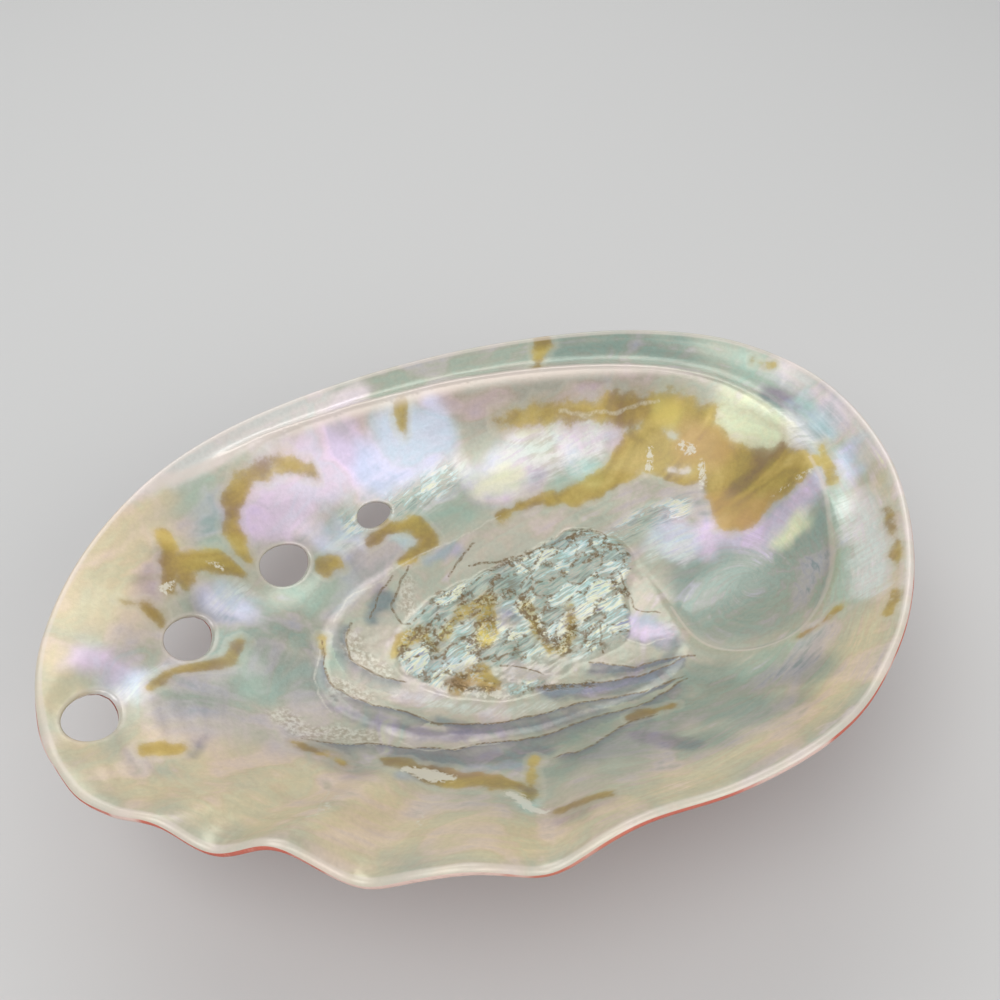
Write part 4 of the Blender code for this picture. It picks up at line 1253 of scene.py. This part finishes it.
class Nodes:
    """Short ways to add the few kinds of shader node used here."""

    def __init__(self, name):
        self.material = bpy.data.materials.new(name)
        self.material.use_nodes = True
        self.tree = self.material.node_tree
        self.shader = self.tree.nodes["Principled BSDF"]

    def add(self, kind, **settings):
        made = self.tree.nodes.new("ShaderNode" + kind)
        for key, value in settings.items():
            setattr(made, key, value)
        return made

    def feed(self, socket, value):
        if isinstance(value, bpy.types.NodeSocket):
            self.tree.links.new(value, socket)
        else:
            socket.default_value = value

    def field(self, name):
        return self.add("Attribute", attribute_name=name).outputs["Fac"]

    def calc(self, operation, a, b=0.0, c=0.0):
        made = self.add("Math", operation=operation)
        for socket, value in zip(made.inputs, (a, b, c)):
            self.feed(socket, value)
        return made.outputs[0]

    def times(self, a, b):
        return self.calc("MULTIPLY", a, b)

    def plus(self, a, b):
        return self.calc("ADD", a, b)

    def scaled(self, value, factor, more):
        return self.calc("MULTIPLY_ADD", value, factor, more)

    def most(self, a, b):
        return self.calc("MAXIMUM", a, b)

    def step(self, value, low, high):
        """0 at low and 1 at high, smooth between. low may be above high."""
        made = self.add("MapRange", interpolation_type="SMOOTHSTEP")
        if low > high:
            return self.calc("SUBTRACT", 1.0, self.step(value, high, low))
        self.feed(made.inputs["Value"], value)
        made.inputs["From Min"].default_value = low
        made.inputs["From Max"].default_value = high
        return made.outputs["Result"]

    def blend(self, share, a, b, way="MIX"):
        made = self.add("Mix", data_type="RGBA", blend_type=way)
        self.feed(made.inputs[0], share)
        self.feed(made.inputs[6], a)
        self.feed(made.inputs[7], b)
        return made.outputs[2]

    def contrasted(self, colour, amount):
        made = self.add("BrightContrast")
        self.feed(made.inputs["Color"], colour)
        made.inputs["Contrast"].default_value = amount
        return made.outputs[0]

    def place(self, sizes, turn=0.0):
        """The point's place, divided by a size in millimetres along each axis."""
        made = self.add("Mapping", vector_type="POINT")
        self.feed(made.inputs["Vector"], self.add("TexCoord").outputs["Object"])
        made.inputs["Rotation"].default_value = (0, 0, turn)
        made.inputs["Scale"].default_value = tuple(1 / (size * MM) for size in sizes)
        return made.outputs[0]

    def joined(self, x, y, z=0.0):
        made = self.add("CombineXYZ")
        for socket, value in zip(made.inputs, (x, y, z)):
            self.feed(socket, value)
        return made.outputs[0]

    def noise(self, vector, detail=3.0, roughness=0.55, distortion=0.0):
        made = self.add("TexNoise")
        self.feed(made.inputs["Vector"], vector)
        made.inputs["Scale"].default_value = 1.0
        made.inputs["Detail"].default_value = detail
        made.inputs["Roughness"].default_value = roughness
        made.inputs["Distortion"].default_value = distortion
        return made.outputs["Fac"]

    def ramp(self, value, stops):
        made = self.add("ValToRGB")
        self.feed(made.inputs["Fac"], value)
        marks = made.color_ramp.elements
        while len(marks) < len(stops):
            marks.new(0.5)
        for mark, (at, colour) in zip(marks, stops):
            mark.position = at
            mark.color = linear(colour)
        return made.outputs["Color"]

    def bump(self, height, depth_mm):
        made = self.add("Bump")
        made.inputs["Strength"].default_value = 1.0
        made.inputs["Distance"].default_value = depth_mm * MM
        self.feed(made.inputs["Height"], height)
        return made.outputs["Normal"]


def pearl_colour(n):
    """Pastel pearl that drifts a little between lilac, cream, green and blue, and its combed streaks."""
    drift = n.noise(n.place((18, 13, 18), 0.4), 3.0, 0.55, 0.8)
    flow = n.joined(n.times(n.field("age"), 26.0), n.times(n.field("spiral"), 2.6))
    streak = n.noise(flow, 3.0, 0.6, 0.4)
    mixed = n.plus(n.times(drift, 0.7), n.times(streak, 0.3))
    return n.ramp(mixed, PEARL_TONES), streak


def tinted(n, colour, comb):
    """The colour with the soft tints, among them painted highlights and painted shade; the painted highlight
    is broken into streaks.
    """
    for name, _, tint, softness, _, strength in TINTS:
        share = n.times(n.step(n.field(name), -softness, 0.7 * softness), strength)
        if name == "lilac":
            in_pit = n.times(n.step(n.field("pit"), 0.12, 0.55), 0.9)
            colour = n.blend(in_pit, colour, linear(PIT_GREEN))
        # The painted highlight is broken into streaks along the comb
        if name == "painted_highlight":
            share = n.times(share, n.scaled(n.step(comb, 0.40, 0.58), 0.65, 0.35))
        colour = n.blend(share, colour, linear(tint))
    return colour


def scar_colour(n):
    """Combed blades of teal, green, violet and cream, each blade in its own tone, and the comb itself, with
    painted shade in its grooves and painted white, cyan and lime sparkle highlights on its ridges.
    """
    along = n.calc("DIVIDE", n.field("comb_along"), 5.5)
    across = n.calc("DIVIDE", n.field("comb_across"), 0.9)
    comb = n.noise(n.joined(along, across), 3.0, 0.6, 0.2)
    # The comb is also the bump's height, so this ramp paints shade in the grooves and highlights on the
    # ridges
    tone = n.plus(n.times(n.field("blade"), 0.30), n.scaled(comb, 0.80, 0.10))
    return n.ramp(tone, SCAR_TONES), comb


def stained(n, colour, fine, grain, rough):
    """The colour under mustard stains, which are clear enough to let the pearl's light and dark through."""
    cloud = n.noise(n.place((16, 9, 16), 0.3), 2.0, 0.5, 0.6)
    tone = n.plus(n.times(cloud, 0.88), n.times(grain, 0.12))
    paint = n.ramp(tone, STAIN_TONES)
    paint = n.blend(n.times(n.step(n.field("amber"), -2.5, 1.5), 0.55), paint, linear(STAIN_AMBER))
    paint = n.blend(n.times(n.step(n.field("gold"), -2.0, 1.2), 0.7), paint, linear(STAIN_BRIGHT))
    paint = n.blend(0.35, paint, n.blend(1.0, colour, paint, "MULTIPLY"))
    edge = n.plus(n.field("stain"), n.scaled(fine, 1.8, -0.9))
    hard = n.times(n.step(edge, -0.5, 0.3), 0.4)
    stain = n.scaled(n.step(edge, -1.8, 1.3), 0.6, hard)
    stain = n.times(stain, n.scaled(tone, 0.5, 0.70))
    broken = n.times(rough, n.step(grain, 0.54, 0.42))
    stain = n.times(stain, n.scaled(broken, -0.45, 1.0))
    halo = n.times(n.step(edge, -1.9, -1.1), 0.18)
    colour = n.blend(halo, colour, linear(FLAKE_WHITE))
    return n.blend(stain, colour, paint), stain


def crumbs_share(n, gap, wide, narrow, grain, strength):
    """A thin line at small gaps, broken into grains."""
    line = n.step(gap, wide, narrow)
    half = 0.5 * strength
    return n.times(line, n.scaled(n.step(grain, 0.36, 0.56), half, half))


def nacre():
    n = Nodes("nacre")
    grain = n.noise(n.place((0.9,) * 3), 3.0, 0.6)
    fine = n.noise(n.place((2.2,) * 3), 4.0, 0.6)
    pearl, streak = pearl_colour(n)
    shelf = n.times(n.step(n.field("shelf"), -0.5, 2.5), 0.6)
    colour = n.blend(shelf, linear(BASE_PEARL), linear(SHELF_GREEN))

    scarred, comb = scar_colour(n)
    rough_edge = n.plus(n.field("rough"), n.scaled(fine, 3.0, -1.5))
    unsmoothed = n.scaled(n.step(n.field("smooth"), 1.0, -1.0), 0.85, 0.15)
    rough = n.times(n.step(rough_edge, -0.6, 0.8), unsmoothed)
    comb_area = n.times(n.step(n.field("comb"), -2.0, 1.0), 0.6)
    colour = tinted(n, colour, comb)
    colour = n.blend(0.26, colour, pearl)
    # Painted shade just outside each layer step, and painted light just inside it
    colour = n.blend(n.times(n.field("painted_step_shade"), 0.90), colour, linear(DUSK_PEARL_AND_SHADE))
    colour = n.blend(n.times(n.field("painted_step_shade"), -0.28), colour, linear(SAND_CREAM_AND_PAINTED_LIGHT))
    shade = n.plus(n.times(streak, 0.34), n.scaled(grain, 0.24, 0.71))
    colour = n.blend(1.0, colour, n.joined(shade, shade, shade), "MULTIPLY")
    colour = n.contrasted(colour, PEARL_CONTRAST)
    colour = n.blend(n.most(n.times(rough, 0.78), comb_area), colour, scarred)

    sandy = n.ramp(grain, SAND_TONES)
    colour = n.blend(n.times(n.step(n.field("sand"), -1.2, 0.9), 0.55), colour, sandy)
    colour, stain = stained(n, colour, fine, grain, rough)

    gap = n.plus(n.field("brown_line"), n.scaled(grain, -0.5, 0.25))
    colour = n.blend(crumbs_share(n, gap, 0.38, 0.06, grain, 0.80), colour, linear(LINE_BROWN))
    pale = crumbs_share(n, n.field("pale_line"), 0.38, 0.08, grain, 0.38)
    colour = n.blend(pale, colour, linear(FLAKE_WHITE))
    patchy = n.times(rough, n.step(fine, 0.44, 0.56))
    seam = n.times(n.step(n.field("blade_edge"), 0.26, 0.06), patchy)
    seam = n.times(seam, n.scaled(n.step(grain, 0.40, 0.54), 0.6, 0.3))
    colour = n.blend(seam, colour, linear(LINE_BROWN))
    crumbs = n.times(n.step(n.field("granules"), -0.8, 0.6), n.step(grain, 0.44, 0.58))
    colour = n.blend(n.times(crumbs, 0.75), colour, linear(LINE_BROWN))
    flaked = n.plus(n.field("flake"), n.scaled(fine, 2.6, -1.3))
    speckled = n.most(n.step(grain, 0.47, 0.56), n.step(flaked, 0.2, 0.7))
    flake = n.times(n.step(flaked, -0.4, 0.3), speckled)
    colour = n.blend(n.times(flake, 0.75), colour, linear(FLAKE_WHITE))

    # A pale line along the pit's rim, and a painted white highlight along the shelf's bead
    rim = n.times(n.step(n.field("rim"), 0.6, 0.15), 0.35)
    rim = n.most(rim, n.times(n.step(n.field("bead"), 2.0, 0.4), 0.7))
    colour = n.blend(rim, colour, linear(LIP_WHITE_AND_RIDGE_HIGHLIGHT))
    hole = n.times(n.step(n.field("hole"), 0.6, 0.05), 0.25)
    colour = n.blend(hole, colour, linear(LIP_WHITE_AND_RIDGE_HIGHLIGHT))
    lip = n.times(n.step(n.field("lip_gap"), 0.5, 0.05), 0.45)
    colour = n.blend(lip, colour, linear(LIP_WHITE_AND_RIDGE_HIGHLIGHT))
    n.feed(n.shader.inputs["Base Color"], colour)

    dull = n.most(n.times(stain, 0.5), n.times(rough, 0.5))
    dull = n.most(dull, flake)
    dull = n.most(dull, lip)
    n.feed(n.shader.inputs["Roughness"], n.scaled(dull, DULL_ROUGHNESS, PEARL_ROUGHNESS))
    n.feed(n.shader.inputs["Metallic"], n.scaled(dull, DULL_METALLIC, PEARL_METALLIC))
    n.feed(n.shader.inputs["Coat Weight"], COAT_WEIGHT)
    n.feed(n.shader.inputs["Coat Roughness"], COAT_ROUGHNESS)
    combed_share = n.most(rough, comb_area)
    relief = n.scaled(comb, combed_share, n.times(grain, 0.12))
    relief = n.scaled(crumbs, 0.4, relief)
    n.feed(n.shader.inputs["Normal"], n.bump(relief, PEARL_BUMP))
    return n.material


def crust():
    """The outside: brick red bands along the growth lines, a few rose and buff ones, and pale worn spots."""
    n = Nodes("crust")
    drift = n.noise(n.place((26,) * 3), 3.0, 0.5, 0.8)
    grain = n.noise(n.place((0.9,) * 3), 4.0, 0.65)
    flow = n.joined(n.times(n.field("age"), 22.0), n.times(n.field("spiral"), 0.6))
    bands = n.noise(flow, 4.0)
    mixed = n.plus(n.times(bands, 0.65), n.times(drift, 0.35))
    colour = n.ramp(mixed, CRUST_TONES)
    worn = n.step(n.noise(n.place((5.0,) * 3), 5.0, 0.7), 0.58, 0.66)
    colour = n.blend(n.times(worn, 0.75), colour, linear(CRUST_WHITE))
    shade = n.scaled(grain, 0.7, 0.62)
    colour = n.blend(1.0, colour, n.joined(shade, shade, shade), "MULTIPLY")
    lip = n.step(n.field("lip_gap"), 7.0, 1.0)
    colour = n.blend(n.times(lip, 0.8), colour, linear(CORAL))
    patches = n.times(n.step(drift, 0.46, 0.56), 0.7)
    pale = n.times(n.step(n.field("lip_gap"), 3.0, 0.3), patches)
    colour = n.blend(pale, colour, linear(LIP_WHITE_AND_RIDGE_HIGHLIGHT))
    n.feed(n.shader.inputs["Base Color"], colour)
    n.feed(n.shader.inputs["Roughness"], n.scaled(grain, CRUST_ROUGHNESS_GRAIN, CRUST_ROUGHNESS))
    n.feed(n.shader.inputs["Normal"], n.bump(grain, CRUST_BUMP))
    return n.material


def make_shell():
    points, faces, looks, plan = build_shell()
    mesh = bpy.data.meshes.new("abalone_shell")
    mesh.from_pydata(points.tolist(), [], faces.tolist())
    mesh.materials.append(nacre())
    mesh.materials.append(crust())
    mesh.polygons.foreach_set("material_index", looks)
    for name, values in shell_fields(plan).items():
        layer = mesh.attributes.new(name, "FLOAT", "POINT")
        layer.data.foreach_set("value", values.astype(np.float32))
    mesh.shade_smooth()
    shell = bpy.data.objects.new("abalone_shell", mesh)
    bpy.context.scene.collection.objects.link(shell)
    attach(shell, "root")
    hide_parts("shell")


def make_floor():
    mesh = bpy.data.meshes.new("floor")
    corners = [(x * FLOOR_REACH, y * FLOOR_REACH, 0) for x, y in ((-1, -1), (1, -1), (1, 1), (-1, 1))]
    mesh.from_pydata(corners, [], [(0, 1, 2, 3)])
    n = Nodes("floor")
    n.feed(n.shader.inputs["Base Color"], FLOOR_GREY)
    n.feed(n.shader.inputs["Roughness"], FLOOR_ROUGHNESS)
    mesh.materials.append(n.material)
    floor = bpy.data.objects.new("floor", mesh)
    bpy.context.scene.collection.objects.link(floor)
    floor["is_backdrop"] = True


def add_light(name, place, size, watts, colour):
    data = bpy.data.lights.new(name, "AREA")
    data.shape = "RECTANGLE"
    data.size, data.size_y = size
    data.energy = watts
    data.color = colour
    light = bpy.data.objects.new(name, data)
    light.location = place
    light.rotation_euler = (Vector(LIGHT_AIM) - Vector(place)).to_track_quat("-Z", "Y").to_euler()
    bpy.context.scene.collection.objects.link(light)


def make_studio():
    world = bpy.data.worlds.new("studio")
    world.use_nodes = True
    background = world.node_tree.nodes["Background"]
    background.inputs["Color"].default_value = WORLD_BLUE
    background.inputs["Strength"].default_value = WORLD_STRENGTH
    bpy.context.scene.world = world
    for light in LIGHTS:
        add_light(*light)
    bpy.context.scene.view_settings.view_transform = "Standard"


def make_camera():
    data = bpy.data.cameras.new("camera")
    data.lens = CAMERA_LENS
    data.clip_start = 0.01
    camera = bpy.data.objects.new("camera", data)
    camera.location = CAMERA_PLACE
    camera.rotation_euler = tuple(math.radians(a) for a in CAMERA_TURN)
    bpy.context.scene.collection.objects.link(camera)
    bpy.context.scene.camera = camera


def write_sizes():
    boxes = {"cad": CAD_BOX, "visual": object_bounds()}
    plain = {name: [list(corner) for corner in box] for name, box in boxes.items()}


make_camera()
make_studio()
make_floor()
make_shell()
write_sizes()
